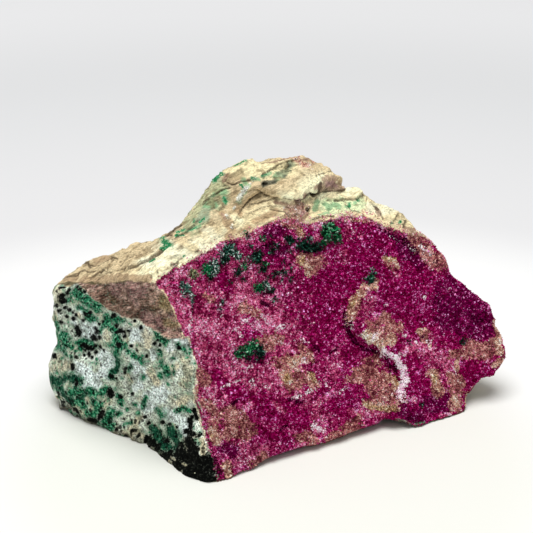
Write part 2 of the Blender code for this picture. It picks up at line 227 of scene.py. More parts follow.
# On the cream top: malachite, and marks of one colour each in the order they are laid on.
TOP_GREENS = [
    (2.6, (214, 180), (218, 176), (220, 173)), (1, (234, 165), (240, 163), (245, 160)), (1.2, (241, 185), (243, 187)),
    (0.9, (251, 178), (255, 179)), (0.7, (262, 176), (267, 174)), (1.6, (244, 233)), (1.8, (349, 205)),
    (1.6, (358, 201)), (1.2, (391, 223)), (1.5, (400, 222)), (3.0, (163, 240), (167, 244), (170, 246)),
    (1.4, (163, 250), (167, 248)), (1, (150, 262), (155, 259)), (0.9, (184, 256)), (1.3, (178, 233), (184, 229)),
    (0.9, (188, 231), (196, 227)), (1.0, (176, 237), (184, 235)), (1.2, (194, 220), (194, 223)),
    (1.5, (224, 198), (226, 203)), (0.8, (200, 222), (205, 218)),
]
TOP_MARKS = [
    # Painted shade: the first two lines of this brown lie where the top bends down over the mauve hollow.
    ((176, 150, 118), [
        (4.5, (82, 281), (104, 280), (126, 278), (148, 280)), (3, (64, 279), (76, 276)), (3, (96, 262), (108, 257)),
    ]),
    ((186, 190, 148), [(13, (217, 186), (206, 204), (193, 222)), (9, (222, 190), (218, 204)), (7, (188, 226))]),
    ((150, 162, 134), [(7, (209, 206), (205, 214)), (3, (199, 221), (206, 218)), (4, (216, 198))]),
    ((224, 238, 188), [(9, (326, 206), (340, 207)), (7, (350, 206), (360, 203))]),
    ((140, 182, 136), [
        (3.4, (215, 194), (224, 192)), (4, (206, 205), (213, 203)), (2.4, (183, 231), (200, 226)), (3.6, (224, 200)),
        (3, (316, 203), (316, 209)), (1.3, (318, 215), (328, 213)), (3.4, (325, 205), (328, 208)),
        (3, (334, 205), (338, 207)), (2, (346, 206)), (2, (355, 203)), (1.6, (246, 160)), (4, (276, 178), (280, 175)),
        (3, (243, 180), (247, 186), (243, 192)), (1.6, (262, 177), (270, 173)), (2, (252, 179), (258, 180)),
    ]),
    ((150, 160, 128), [(4.6, (282, 174), (287, 170), (290, 165)), (3, (240, 196), (236, 206))]),
    ((86, 92, 80), [
        (2.8, (262, 184), (268, 183), (274, 182)), (2.4, (288, 166)), (1.4, (291, 172)), (1.4, (285, 176)),
    ]),
    ((186, 158, 122), [
        (4.6, (222, 214), (227, 220), (231, 228)), (4, (228, 236), (232, 230)), (3, (236, 206), (240, 214)),
        (4, (255, 222), (266, 217), (276, 211)), (3, (240, 232), (250, 227)),
    ]),
    ((150, 118, 100), [
        (6.5, (290, 209), (298, 206)), (5, (296, 214), (306, 213)), (7, (288, 223), (294, 222)), (3, (304, 196)),
        (2.4, (300, 161), (306, 160)), (1.3, (264, 161), (274, 162), (284, 159)),
        (1.5, (285, 157), (293, 157), (298, 158)), (2.6, (227, 175), (224, 181)), (2.4, (276, 203), (286, 204)),
        (4, (412, 236), (420, 238)), (6, (424, 244), (436, 254)), (2, (346, 218), (358, 220), (370, 220)),
        (2.4, (404, 228), (414, 231)),
    ]),
    # The first two marks of this brown colour the riser under the knob, partly its own brown and partly painted shade
    # on a step that turns down.
    ((178, 148, 126), [
        (5.8, (320, 187), (330, 184), (341, 186)), (3.4, (324, 180), (336, 180)), (3.6, (294, 207), (301, 209)),
        (3, (288, 224)), (1.4, (222, 214), (225, 219)), (1.4, (230, 235), (233, 237)), (2.4, (377, 208), (380, 215)),
    ]),
    # Painted shade: this colour darkens the knob's right end, where it turns away from the lamp.
    ((206, 184, 144), [(5, (338, 170), (342, 178)), (4, (326, 168), (334, 172))]),
    ((176, 140, 136), [(3.6, (328, 184), (334, 184)), (2.6, (303, 213)), (2, (298, 200))]),
    ((206, 150, 132), [(2.4, (301, 164), (306, 167)), (2, (312, 162)), (1.8, (296, 160))]),
    # Painted shadow: the first three lines of this dark brown run under the riser and the ledge below the knob.
    ((72, 58, 46), [
        (1.6, (299, 200), (304, 198), (309, 193), (313, 196), (318, 193)), (1.6, (316, 193), (318, 188), (320, 183)),
        (1.1, (318, 192), (330, 191.5), (344, 190.5)), (1.6, (375, 205), (378, 209)),
        (1.4, (374, 223), (378, 224), (381, 226)), (1.4, (196, 252), (198, 251)), (1.3, (158, 272)),
        (1.2, (171, 265), (174, 264)), (1.5, (82, 264), (88, 262), (90, 267)), (1, (103, 270)), (1.1, (106, 272)),
        (1.1, (396, 216)), (1.2, (393, 223)), (1, (146, 241)), (0.9, (113, 258), (118, 259)),
        (0.9, (90, 278), (97, 274), (106, 270)), (1.3, (405, 221), (403, 228)),
        (2, (170, 234), (175, 230), (180, 225)), (1.6, (178, 262), (174, 268)), (1.4, (166, 236), (172, 236)),
    ]),
    # Painted shadow under the cream lip that overhangs the mauve hollow.
    ((72, 70, 48), [(2.2, (60, 285), (68, 282), (80, 285), (92, 283), (100, 285)), (1.2, (110, 284), (128, 281))]),
    ((246, 246, 234), [
        (1.9, (247, 187), (243, 192), (238, 199)), (1.5, (235, 207)), (1.6, (226, 215)), (1.2, (232, 225)),
        (1.3, (300, 164)), (1.2, (309, 166)), (1.2, (296, 158)), (1.1, (250, 184)), (1, (284, 208)),
    ]),
]
# A colour whose first mark is thinner than this keeps sharper edges.
THIN_MARK = 2.3
# Brighter stretches of the cream top, its crest, and the holes in it: u, v, half width and half height.
# The first three bright stretches are painted light, where the wedge faces the lamp.
TOP_BRIGHTS = [(185, 249, 44, 13), (155, 263, 24, 7), (208, 236, 20, 11), (376, 208, 30, 9)]
TOP_CREST = [(262, 169, 52, 14)]
TOP_HOLES = [
    (308.6, 208.5, 2.8, 2.9), (302.5, 207.5, 1.6, 1.3), (264, 184, 4, 1.8), (312, 194, 4, 1.6), (378, 224, 3, 1.3),
]
# Thin cracks, as marks.
TOP_CRACKS = [
    (0.8, (259, 190), (262, 193), (266, 195), (271, 196), (277, 197)), (0.6, (282, 197), (290, 199), (297, 200)),
    (0.9, (227, 183), (233, 185), (240, 182), (250, 180)),
    (0.8, (262, 175), (270, 170), (278, 165), (285, 162), (291, 160)),
    (0.6, (203, 201), (212, 196), (221, 191), (230, 188)),
    (0.8, (334, 200), (345, 199.5), (356, 200), (361, 196), (364, 194)),
    (0.9, (130, 268.5), (138, 265), (147, 261), (155, 256), (163, 251)), (0.7, (173, 241), (187, 231), (198, 221)),
    (0.7, (250, 204), (258, 203), (266, 201), (276, 198)), (0.8, (241, 211), (246, 204), (252, 198), (258, 194)),
    (0.8, (381, 212), (383, 219)), (0.7, (313, 219), (322, 216), (334, 217)), (0.6, (66, 276), (80, 272), (96, 271)),
    (0.6, (86, 266), (100, 265), (112, 259)), (0.6, (316, 176), (322, 175), (330, 173)),
    (0.6, (120, 262), (136, 256), (150, 250)), (0.5, (98, 276), (120, 270), (134, 266)),
    (0.6, (196, 262), (184, 266), (172, 271)), (0.6, (270, 210), (284, 212), (292, 218)),
    (0.6, (248, 214), (262, 208), (272, 206)), (0.7, (346, 204), (352, 210), (360, 212)),
    (0.6, (402, 210), (405, 218)),
]
# Small ledges: the rise in millimetres and its reach in pixels, and then the corners, with the raised side on the
# left hand as the line runs.
TOP_LEDGES = [
    (0.4, 14, (259, 190), (266, 195), (277, 197), (290, 199), (299, 200), (306, 197), (314, 192)),
    (0.4, 14, (227, 185), (240, 182.5), (250, 179)), (0.45, 12, (262, 175), (270, 170), (279, 165), (292, 160)),
    (0.34, 10, (203, 202), (212, 196), (221, 191), (230, 187)),
    (0.41, 10, (331, 200), (345, 199.5), (356, 200), (364, 194)),
    (0.54, 14, (130, 268.5), (147, 261), (163, 251), (173, 242), (187, 231), (198, 221)),
    (0.41, 10, (234, 222), (240, 210), (249, 199), (259, 192)), (0.27, 6, (313, 219), (322, 216), (334, 217)),
    (0.34, 8, (66, 276), (80, 272), (96, 271), (112, 266)),
    (0.31, 10, (240, 218), (258, 210), (276, 206), (292, 208)), (0.27, 8, (262, 226), (280, 216), (296, 214)),
    (0.27, 8, (205, 225), (214, 214), (222, 205)), (0.27, 8, (95, 262), (110, 256), (128, 250), (142, 241)),
    (0.34, 8, (384, 232), (392, 222), (398, 213)), (0.41, 8, (250, 190), (262, 186), (276, 182)),
]
# Where the rock stands out further than its solid, or less far: millimetres, and then a mark.
SWELLS = [
    (1.0, (9, (322, 168), (331, 174))), (0.35, (8, (341, 187))), (0.8, (9, (350, 187), (358, 191))),
    (0.35, (12, (412, 226), (432, 246), (446, 262))), (2.4, (11, (500, 354), (495, 363), (488, 370))),
    (0.7, (12, (52, 292), (52, 316))), (0.9, (16, (118, 434), (140, 442), (166, 460))),
    (0.8, (12, (176, 466), (188, 474))), (0.6, (12, (316, 445), (342, 437))), (-1.2, (8, (60, 402), (66, 410))),
    (-0.6, (10, (62, 284), (74, 276))), (-0.9, (9, (108, 249), (122, 245))), (-0.4, (12, (130, 245), (150, 240))),
    (-0.6, (12, (184, 224), (191, 212), (200, 198), (206, 184))), (-0.5, (11, (224, 170), (236, 162), (246, 160))),
    (-0.9, (10, (262, 158), (278, 155), (294, 154))), (-0.7, (10, (380, 202), (392, 208))),
    (1.1, (9, (488, 306), (494, 318))), (-0.5, (7, (468, 286), (472, 292))),
    (-1.0, (10, (386, 422), (404, 424), (420, 422))), (-0.6, (9, (466, 398), (465, 408))),
]
# The druse's patches, as marks.
DRUSE_PATCHES = {
    "deep": [
        (22, (322, 286), (325, 328)), (10, (350, 350), (350, 410)), (22, (366, 250), (396, 288), (430, 310)),
        (14, (414, 368), (420, 394)), (12, (400, 408), (440, 405)), (12, (466, 370), (480, 374)),
        (10, (322, 393), (335, 405)), (13, (258, 404), (286, 414), (304, 424)), (9, (262, 434), (286, 438)),
        (8, (232, 392), (244, 398)), (7, (216, 376), (222, 384)), (6, (246, 334), (262, 336)),
        (7, (322, 346), (332, 342)), (8, (226, 286), (222, 276)), (6, (270, 262), (282, 262)),
    ],
    "mixed": [
        (26, (196, 300), (220, 330), (216, 370), (214, 400)), (24, (236, 290), (262, 310), (282, 338)),
        (17, (238, 370), (262, 380), (292, 372)), (18, (255, 275), (230, 268)), (12, (296, 397), (318, 402)),
        (12, (350, 362), (342, 372)), (9, (238, 458), (262, 452)), (9, (300, 440), (312, 436)),
        (15, (424, 350), (444, 366), (446, 390)), (12, (470, 352), (486, 352)), (8, (348, 232), (362, 240)),
        (9, (440, 268), (430, 262)), (9, (345, 258)), (11, (300, 262), (318, 262)), (12, (230, 440), (240, 452)),
        (10, (362, 312), (368, 300)), (9, (392, 262), (396, 272)), (8, (404, 402), (398, 398)), (9, (426, 336)),
        (9, (320, 330), (310, 318)), (10, (420, 372), (414, 362)),
    ],
    "purple": [
        (24, (456, 300), (484, 318)), (12, (446, 322), (484, 332)), (10, (404, 246), (418, 258)), (10, (448, 284)),
        (9, (404, 412), (416, 416)), (11, (430, 404), (444, 402)), (9, (224, 448), (232, 452)),
        (8, (268, 232), (280, 230)), (6, (262, 250), (284, 250)), (6, (380, 226), (388, 232)),
    ],
    "pink": [
        (9, (164, 284), (174, 300), (184, 324)), (6, (178, 274), (192, 268)), (4, (206, 256), (214, 250)),
        (7, (200, 322), (212, 330)), (6, (216, 353), (222, 357)), (4, (225, 363)), (3, (226, 397)),
        (8, (238, 300), (254, 296)), (6, (240, 286), (250, 282)), (4, (243, 318)), (4, (285, 394)),
        (6, (264, 330), (274, 320)), (3, (344, 220), (350, 224)), (3, (392, 272), (398, 276)), (4, (316, 238)),
        (3, (324, 226), (312, 228)), (4, (350, 412), (362, 414), (386, 413)), (4, (374, 298)),
        (5, (370, 322), (380, 316)), (3, (424, 348), (428, 352)), (3, (414, 400)), (5, (250, 238), (242, 240)),
        (6, (199, 345), (198, 352)), (5, (444, 360), (448, 368)), (4, (404, 352), (410, 348)),
        (3, (470, 344), (476, 350)), (4, (320, 400), (328, 396)), (4, (266, 448), (256, 458)),
        (4, (314, 418), (322, 420)), (5.5, (313, 430), (322, 431)), (5, (296, 352), (288, 348)),
        (3, (440, 416), (462, 414)), (3, (346, 252)), (4, (276, 404), (284, 412)), (4, (240, 412), (250, 404)),
    ],
    "brown": [
        (16, (366, 374), (380, 384), (384, 396)), (12, (374, 330), (388, 336)), (8, (386, 320), (396, 328)),
        (12, (284, 366), (296, 380)), (9, (262, 344), (276, 340)), (7, (310, 378), (314, 384)),
        (11, (228, 414), (236, 420)), (11, (230, 432), (246, 430)), (6, (213, 424), (217, 438)),
        (7, (206, 404), (212, 410)), (8, (346, 428), (358, 422)), (7, (300, 436), (312, 440)), (7, (424, 337)),
        (9, (470, 350), (482, 350), (494, 346)), (6, (452, 354), (464, 356)), (7, (454, 376), (457, 396), (456, 408)),
        (6, (432, 374), (437, 392)), (9, (414, 240), (428, 252), (440, 264)), (4, (226, 462), (228, 474)),
        (8, (304, 254), (318, 262), (308, 270)), (7, (302, 348), (308, 358)), (6, (244, 308), (256, 314)),
        (5, (264, 456), (252, 464)), (6, (284, 222), (296, 224)), (4, (210, 300), (204, 294)),
        (5, (380, 352), (370, 360)), (6, (330, 440), (346, 434)), (6, (392, 266), (388, 260)),
        (6, (356, 300), (350, 316)), (6, (200, 372), (206, 380)),
    ],
    "ochre": [
        (2.6, (364, 405), (378, 409), (394, 408)), (2.2, (433, 376), (434, 381)), (3, (312, 374), (315, 381)),
        (2.4, (356, 296), (352, 306)), (2.4, (394, 376), (397, 384)), (2.4, (386, 259), (394, 260)),
        (2.6, (303, 259), (300, 266)), (3, (300, 231)), (2.4, (288, 376), (285, 380)), (2, (212, 436)),
    ],
    "tan": [
        (5.4, (375, 286), (366, 288), (359, 294), (355, 300)), (4.4, (352, 304), (350, 312)),
        (2.8, (349, 318), (349, 324)), (5.4, (299, 230), (302, 235)), (5, (300, 260), (308, 268)), (3.4, (308, 273)),
        (5, (377, 342), (386, 343), (392, 338)), (5, (390, 378), (396, 386)),
        (3.6, (364, 404), (380, 408), (396, 409)), (5, (212, 432), (216, 442)), (4, (224, 466), (230, 476)),
        (2.6, (196, 380), (196, 398)), (5, (292, 362), (298, 358)), (4, (312, 376)),
        (2.6, (384, 258), (394, 260), (398, 268)), (3.2, (433, 372), (436, 386)), (2, (439, 390)),
        (3, (456, 362), (456, 370)), (3.4, (498, 336), (499, 352)), (3, (494, 322), (497, 330)),
        (2.6, (418, 332), (424, 330)), (3, (500, 360), (494, 366)), (2.6, (346, 219), (358, 220), (368, 220)),
        (3, (454, 398), (458, 406)), (2.4, (430, 346)), (4, (288, 380), (284, 374)),
    ],
    "cream": [(5.2, (366, 333), (370, 338)), (1.6, (377, 346), (384, 347)), (1.4, (372, 288), (376, 287))],
    "white": [
        (3.6, (384, 350), (389, 354)), (4.0, (392, 355), (398, 359)), (5.4, (400, 363), (403, 368)),
        (4.6, (404.5, 374), (405, 380)), (3.2, (402, 386), (400, 391)), (1.7, (318, 428)),
    ],
    # The sparks are painted glints: small clusters of white crystals, one of them along the white vein.
    "sparks": [
        (4.2, (314, 427), (320, 430)), (5.4, (385, 352), (396, 358), (404, 368), (405, 380), (401, 394)),
        (1.6, (351, 322), (352, 328)), (1.4, (192, 298), (191, 318), (190, 334)), (2.4, (390, 236), (398, 240)),
        (2, (408, 246), (414, 252)), (1.8, (420, 246), (430, 254)), (2, (428, 342)), (1.8, (416, 342)),
        (2, (242, 336), (236, 330)), (1.8, (222, 316)), (2, (262, 316), (268, 322)), (2.2, (430, 341), (430, 349)),
        (2.2, (306, 392), (311, 390), (316, 391)), (2.2, (325, 381), (327, 387)), (1.6, (278, 408)),
        (2, (254, 386), (251, 381)), (1.8, (344, 217), (348, 219)), (1.6, (394, 237)), (2, (275, 337), (282, 344)),
        (1.4, (449, 289)), (2.4, (301, 339), (307, 343)), (1.4, (422, 322)), (1.6, (386, 305)),
        (2.2, (303, 360), (308, 363)), (2, (402, 334), (405, 336)), (1.8, (363, 399)), (1.4, (367, 291), (370, 293)),
        (1.8, (424, 298)), (2, (398, 352), (404, 356)), (1.8, (300, 396), (292, 398)), (2, (276, 330), (284, 326)),
        (1.8, (243, 322), (250, 318)), (2, (396, 392), (402, 396)), (1.4, (221, 388), (230, 384), (240, 380)),
        (1.4, (243, 371), (252, 366)), (1.4, (207, 402), (203, 396)), (2, (376, 334), (372, 342)),
        (1.6, (452, 366), (456, 374)), (1.6, (340, 392), (346, 388)), (1.6, (262, 384), (268, 388)),
    ],
    # The dark patches are mostly painted shade, such as the shadow under the raised plate's edge and a crevice near the
    # rim.
    "dark": [
        (4.2, (214, 458), (219, 473)), (1.9, (344, 312), (346, 326), (352, 338)),
        (2.5, (354, 341), (364, 349), (378, 352)), (2.2, (386, 357), (390, 366)), (2, (390, 372)), (3.4, (410, 418)),
        (4, (300, 249), (314, 250)), (3, (226, 260), (220, 264)), (2, (350, 324)), (1, (193, 302), (192, 312)),
        (3.4, (380, 228), (392, 236), (404, 242), (416, 252)), (1.6, (262, 294), (272, 291)), (1.6, (423, 337)),
        (2, (286, 258), (280, 266)), (2, (264, 246), (272, 242)), (1.8, (290, 264)), (1.6, (246, 262), (250, 266)),
        (1.8, (426, 248)), (1.6, (436, 262)), (1.6, (246, 376)), (1.8, (232, 404), (238, 400)),
        (1.8, (286, 426), (280, 430)), (2.6, (318, 352), (314, 345)), (2, (284, 246), (272, 250)),
        (2.4, (250, 360), (262, 362)), (1.8, (396, 372), (394, 364)), (2, (290, 400), (300, 402)),
        (2, (262, 302), (268, 306)), (2.4, (470, 318), (484, 320)), (1.6, (330, 352), (338, 348)),
    ],
}
# How likely a crystal in a patch takes the patch's tone, and how ragged the patch's edge is.
PATCH_HOLD = {
    "mixed": (0.75, 1.0), "deep": (0.95, 1.0), "purple": (0.9, 1.0), "pink": (0.68, 1.0), "brown": (0.9, 1.0),
    "tan": (0.92, 1.0), "ochre": (0.8, 1.0), "cream": (0.95, 0.8), "white": (0.97, 1.1), "sparks": (0.5, 1.6),
    "dark": (0.85, 1.2),
}
# The crust between the crystals, by patch. It is kept dark, partly its own colour and partly painted shade in the gaps.
GROUND_TONES = {
    "mixed": (86, 18, 44), "pink": (104, 44, 58), "brown": (92, 48, 46), "tan": (120, 82, 68),
    "white": (190, 130, 156), "dark": (40, 2, 20),
}

# ---------------------------------------------------------------- crystals

# Each tone is a ramp from its darkest crystals to its lightest, at these shares of them.
# The lightest stops, held by the last few crystals of a ramp, are painted glints.
RAMP_SHARES = (0.04, 0.19, 0.45, 0.72, 0.90, 0.98)
TONES = {
    "deep": ((62, 0, 20), (94, 0, 42), (112, 0, 58), (128, 4, 74), (156, 32, 102), (232, 124, 184)),
    "magenta": ((64, 0, 22), (98, 0, 46), (126, 14, 72), (154, 44, 98), (190, 88, 138), (248, 164, 200)),
    "purple": ((48, 0, 21), (68, 0, 37), (84, 0, 50), (101, 2, 62), (124, 24, 82), (208, 128, 176)),
    "pink": ((118, 30, 66), (148, 54, 90), (172, 80, 114), (196, 112, 146), (222, 148, 178), (246, 196, 216)),
    "mixed": ((76, 0, 34), (110, 10, 58), (138, 40, 82), (170, 78, 114), (206, 120, 152), (248, 176, 204)),
    "brown": ((72, 20, 34), (104, 54, 56), (134, 85, 82), (158, 108, 103), (184, 136, 128), (220, 176, 166)),
    "tan": ((100, 60, 56), (136, 94, 84), (162, 124, 108), (186, 150, 134), (210, 180, 160), (236, 214, 196)),
    "ochre": ((84, 56, 40), (120, 92, 64), (150, 122, 88), (172, 146, 112), (194, 172, 140), (224, 208, 182)),
    "white": ((196, 128, 158), (236, 188, 208), (250, 218, 232), (254, 234, 242), (255, 244, 250), (255, 250, 252)),
    "cream": ((112, 70, 68), (168, 132, 108), (208, 182, 148), (230, 208, 176), (246, 230, 204), (255, 248, 232)),
    "dark": ((14, 0, 6), (30, 0, 14), (46, 0, 24), (64, 0, 36), (92, 2, 54), (146, 56, 102)),
    "rose": ((98, 60, 56), (140, 96, 90), (170, 128, 118), (192, 154, 144), (212, 182, 172), (236, 220, 210)),
    "frost": ((86, 90, 76), (134, 138, 118), (176, 178, 160), (204, 206, 192), (224, 226, 214), (240, 240, 234)),
}
# How far light crystals keep together in patches, for each tone. The other tones take the usual share.
CLOUDS = {
    "deep": 0.25,
    "magenta": 0.4,
    "purple": 0.25,
    "dark": 0.2,
    "white": 0.3,
}
USUAL_CLOUDS = 0.75
DRUSE_GAIN = 1.95
# Crystal corners that stand out of the crust, and whole crystals on it.
GRAINS = 150000
GRAIN_PIECES = 4
GRAIN_SIZES = (0.15, 0.46)
RHOMBS = 9000
RHOMB_EDGES = (0.24, 0.52)
RHOMB_SQUASH = 0.84
# Crystals that lie lower than this would reach through the floor.
LOWEST_CRYSTAL = 0.5

# Fine crystals on the cream rock: the tone, how many to a square millimetre, and then a mark.
TOP_CRYSTALS = [
    ("frost", 9, (2.6, (247, 187), (243, 192), (238, 200))), ("frost", 7, (1.8, (235, 207), (233, 210))),
    ("frost", 6, (2.0, (226, 215), (229, 219))), ("frost", 6, (1.8, (231, 225), (233, 229))),
    ("rose", 9, (4.2, (298, 162), (305, 165), (312, 166))), ("rose", 7, (2.4, (292, 157), (300, 158))),
    ("rose", 8, (6.5, (290, 212), (298, 208), (306, 210))), ("rose", 7, (5.0, (300, 222), (288, 222), (274, 224))),
    ("rose", 5, (4.0, (262, 230), (250, 234), (240, 237))), ("rose", 5, (3.0, (340, 216), (360, 216))),
    ("rose", 4, (3.4, (404, 230), (418, 236), (430, 246))), ("frost", 4, (2.4, (252, 182), (256, 178))),
]
TOP_CRYSTAL_SIZES = (0.12, 0.34)

# Malachite on the druse: kind, radius in pixels, height in millimetres, and then the corners of its line.
TUFTS = [
    ("bright", 7.8, 1.7, (328, 230), (331, 234)), ("bright", 3.6, 1.1, (337, 239)), ("bright", 3.0, 1.0, (323, 242)),
    ("dark", 4.2, 1.1, (297, 243), (303, 246), (311, 248), (319, 246)), ("dark", 3.4, 0.9, (286, 239), (291, 241)),
    ("frosted", 2.6, 0.8, (309, 238)), ("frosted", 3.8, 1.1, (222, 256), (226, 251), (231, 246)),
    ("frosted", 3.0, 0.9, (234, 252), (239, 257)), ("dark", 3.0, 0.7, (220, 262), (227, 258)),
    ("frosted", 3.8, 1.1, (212, 261), (214, 267), (213, 273)), ("bright", 4.2, 1.1, (205, 268), (207, 272)),
    ("dark", 2.6, 0.7, (210, 277)), ("dark", 4.8, 1.0, (256, 254), (255, 260)), ("bright", 2.8, 0.8, (244, 266)),
    ("dark", 3.8, 0.8, (237, 272)), ("bright", 2.8, 0.7, (265, 264)), ("dark", 3.0, 0.7, (262, 270)),
    ("bright", 3.6, 0.9, (256, 288), (259, 288)), ("frosted", 3.8, 0.9, (265, 286)), ("dark", 2.4, 0.6, (271, 290)),
    ("dark", 2.6, 0.6, (275, 274)), ("dark", 2.8, 0.6, (283, 272)), ("dark", 1.8, 0.5, (290, 280)),
    ("frosted", 3.6, 0.8, (182, 284), (187, 289)), ("frosted", 2.6, 0.7, (190, 295)),
    ("frosted", 2.2, 0.5, (182, 294)), ("pale", 3.8, 0.7, (193, 274)), ("dark", 2.4, 0.6, (275, 300)),
    ("frosted", 2.2, 0.5, (222, 303)), ("dark", 1.8, 0.4, (219, 309)), ("bright", 2.4, 0.6, (262, 239)),
    ("dark", 2.4, 0.6, (276, 245)), ("dark", 2.6, 0.6, (271, 250)),
    ("bright", 4.4, 1.2, (240, 353), (248, 349), (254, 345)), ("bright", 2.8, 0.8, (235, 353)),
    # On the next line, the dark blades from (257, 348) to (260, 356) are painted shadow on the lower right of the tuft
    # above them.
    ("dark", 4.0, 1.0, (257, 348), (260, 356)), ("dark", 2.8, 0.7, (248, 357)), ("bright", 3.0, 1.0, (370, 279)),
    ("dark", 2.8, 0.8, (366, 281), (372, 281)), ("frosted", 2.4, 0.7, (372, 272)), ("dark", 1.6, 0.4, (284, 262)),
    ("dark", 1.6, 0.4, (290, 268)), ("dark", 1.8, 0.4, (247, 236)), ("dark", 1.6, 0.4, (270, 238)),
    ("dark", 2.0, 0.5, (250, 246)), ("dark", 1.6, 0.4, (281, 280)), ("dark", 1.8, 0.4, (268, 277)),
    ("dark", 1.6, 0.4, (243, 279)), ("dark", 1.4, 0.3, (230, 283)), ("frosted", 1.8, 0.4, (247, 258)),
    ("dark", 1.5, 0.3, (290, 251)), ("frosted", 1.6, 0.4, (192, 301)), ("dark", 3.0, 0.5, (462, 341)),
    ("dark", 1.8, 0.4, (408, 343)), ("dark", 1.8, 0.4, (421, 404)),
]
# The colours of each kind's blades, and how many blades out of a hundred have them.
MALACHITE_TONES = {
    "bright": [
        ((2, 40, 22), 26), ((8, 92, 54), 30), ((30, 140, 84), 26), ((100, 190, 136), 12), ((190, 230, 200), 6),
    ],
    "dark": [((0, 10, 8), 40), ((2, 32, 24), 32), ((10, 72, 54), 18), ((96, 152, 130), 10)],
    "frosted": [((4, 36, 28), 26), ((26, 92, 76), 26), ((122, 172, 154), 28), ((226, 240, 232), 20)],
    "pale": [((70, 100, 66), 26), ((140, 156, 110), 36), ((206, 208, 164), 30), ((236, 236, 214), 8)],
}
BLADES_PER_MM2 = 20
# A blade's two widths and its length, at the least and at the most, and how deep its foot stands.
BLADE_LEAST, BLADE_MOST = (0.22, 0.22, 0.6), (0.46, 0.46, 1.35)
BLADE_FOOT = 0.25


# ---------------------------------------------------------------- numbers and noise


def seen(points):
    """The pixels at which the camera sees the points."""
    away = points - CAMERA_PLACE
    depth = -(away @ BACKWARD)
    u = FRAME_PX / 2 + FOCAL_PX * (away @ RIGHTWARD) / depth
    v = FRAME_PX / 2 - FOCAL_PX * (away @ UPWARD) / depth
    return np.stack([u, v], axis=1)


def smooth(low, high, values):
    """0 at low and 1 at high, eased at both. Low may be the larger of the two."""
    share = np.clip((values - low) / (high - low), 0.0, 1.0)
    return share * share * (3.0 - 2.0 * share)


def scrambled(cells, seed):
    """A number between 0 and 1 for each cell of a grid, without pattern."""
    mixed = cells[..., 0] * 73856093 ^ cells[..., 1] * 19349663 ^ cells[..., 2] * 83492791 ^ (seed * 668265263)
    mixed = (mixed ^ (mixed >> 13)) * 1274126177 & 0xFFFFFFFF
    mixed = (mixed ^ (mixed >> 16)) * 2246822519 & 0xFFFFFFFF
    return ((mixed ^ (mixed >> 15)) & 0xFFFFFF) / float(0xFFFFFF)


def noise(points, wave, seed):
    """Smooth noise between -1 and 1, with bumps about a wave across."""
    places = points / wave + seed * 3.7
    cells = np.floor(places).astype(np.int64)
    within = places - cells
    ease = within * within * (3.0 - 2.0 * within)
    total = np.zeros(len(points))
    for corner in itertools.product((0, 1), repeat=3):
        weight = np.prod(np.where(np.array(corner) == 1, ease, 1.0 - ease), axis=1)
        total += weight * scrambled(cells + np.array(corner), seed)
    return total * 2.0 - 1.0


def rough_noise(points, wave, seed, layers=3):
    """Noise with finer noise on it, each layer half as wide and half as strong as the last."""
    total = sum(noise(points, wave / 2**k, seed + k) / 2**k for k in range(layers))
    return total / sum(0.5**k for k in range(layers))


def streaks(points, along, wave, stretch, seed):
    """Noise drawn out in one direction."""
    run = points @ along
    return noise(points + np.outer(run * (1.0 / stretch - 1.0), along), wave, seed)


def cell_noise(points, wave, seed):
    """The distance to the nearest of some scattered points, in waves, and a number for that point."""
    places = points / wave
    cells = np.floor(places).astype(np.int64)
    nearest = np.full(len(points), 9.0)
    number = np.zeros(len(points))
    for step in itertools.product((-1, 0, 1), repeat=3):
        near = cells + np.array(step)
        middle = near + np.stack([scrambled(near, seed + k) for k in range(3)], axis=1)
        away = np.linalg.norm(middle - places, axis=1)
        closer = away < nearest
        nearest[closer] = away[closer]
        number[closer] = scrambled(near, seed + 5)[closer]
    return nearest, number


def off_line(pixels, start, end):
    """The way to each pixel from the place nearest to it on a straight line."""
    along = end - start
    share = np.clip(((pixels - start) @ along) / (along @ along), 0.0, 1.0)
    return pixels - start - share[:, None] * along


def inside_by(pixels, corners):
    """How far each pixel lies inside the outline, in pixels. Outside it is negative."""
    outline = np.array(corners, dtype=float)
    nearest = np.full(len(pixels), np.inf)
    inside = np.zeros(len(pixels), dtype=bool)
    for start, end in zip(outline, np.roll(outline, -1, axis=0)):
        nearest = np.minimum(nearest, np.linalg.norm(off_line(pixels, start, end), axis=1))
        crosses = (start[1] > pixels[:, 1]) != (end[1] > pixels[:, 1])
        along = end - start
        slope = (pixels[:, 1] - start[1]) / (along[1] if along[1] else 1e-9)
        inside ^= crosses & (pixels[:, 0] < start[0] + slope * along[0])
    return np.where(inside, nearest, -nearest)


def along_line(pixels, corners):
    """The distance from each pixel to an open line, or to a point."""
    line = np.array(corners, dtype=float)
    nearest = np.linalg.norm(pixels - line[0], axis=1)
    for start, end in itertools.pairwise(line):
        nearest = np.minimum(nearest, np.linalg.norm(off_line(pixels, start, end), axis=1))
    return nearest


def marks(pixels, places):
    """1 in the middle of a mark, 0 at its edge and falling on to -2, for the mark each pixel is deepest in."""
    best = np.full(len(pixels), -2.0)
    for half_width, *corners in places:
        low, high = np.min(corners, axis=0) - 3 * half_width, np.max(corners, axis=0) + 3 * half_width
        near = np.where(((pixels > low) & (pixels < high)).all(axis=1))[0]
        best[near] = np.maximum(best[near], 1.0 - along_line(pixels[near], corners) / half_width)
    return best


def spots(pixels, places):
    """The same for oval spots: u, v, half width, half height."""
    best = np.full(len(pixels), -2.0)
    for u, v, half_width, half_height in places:
        away = np.hypot((pixels[:, 0] - u) / half_width, (pixels[:, 1] - v) / half_height)
        best = np.maximum(best, 1.0 - away)
    return best


def laid_on(colours, colour, share):
    """The colours with a share of another one over them."""
    return colours + (srgb(*colour) - colours) * np.clip(share, 0.0, 1.0)[:, None]


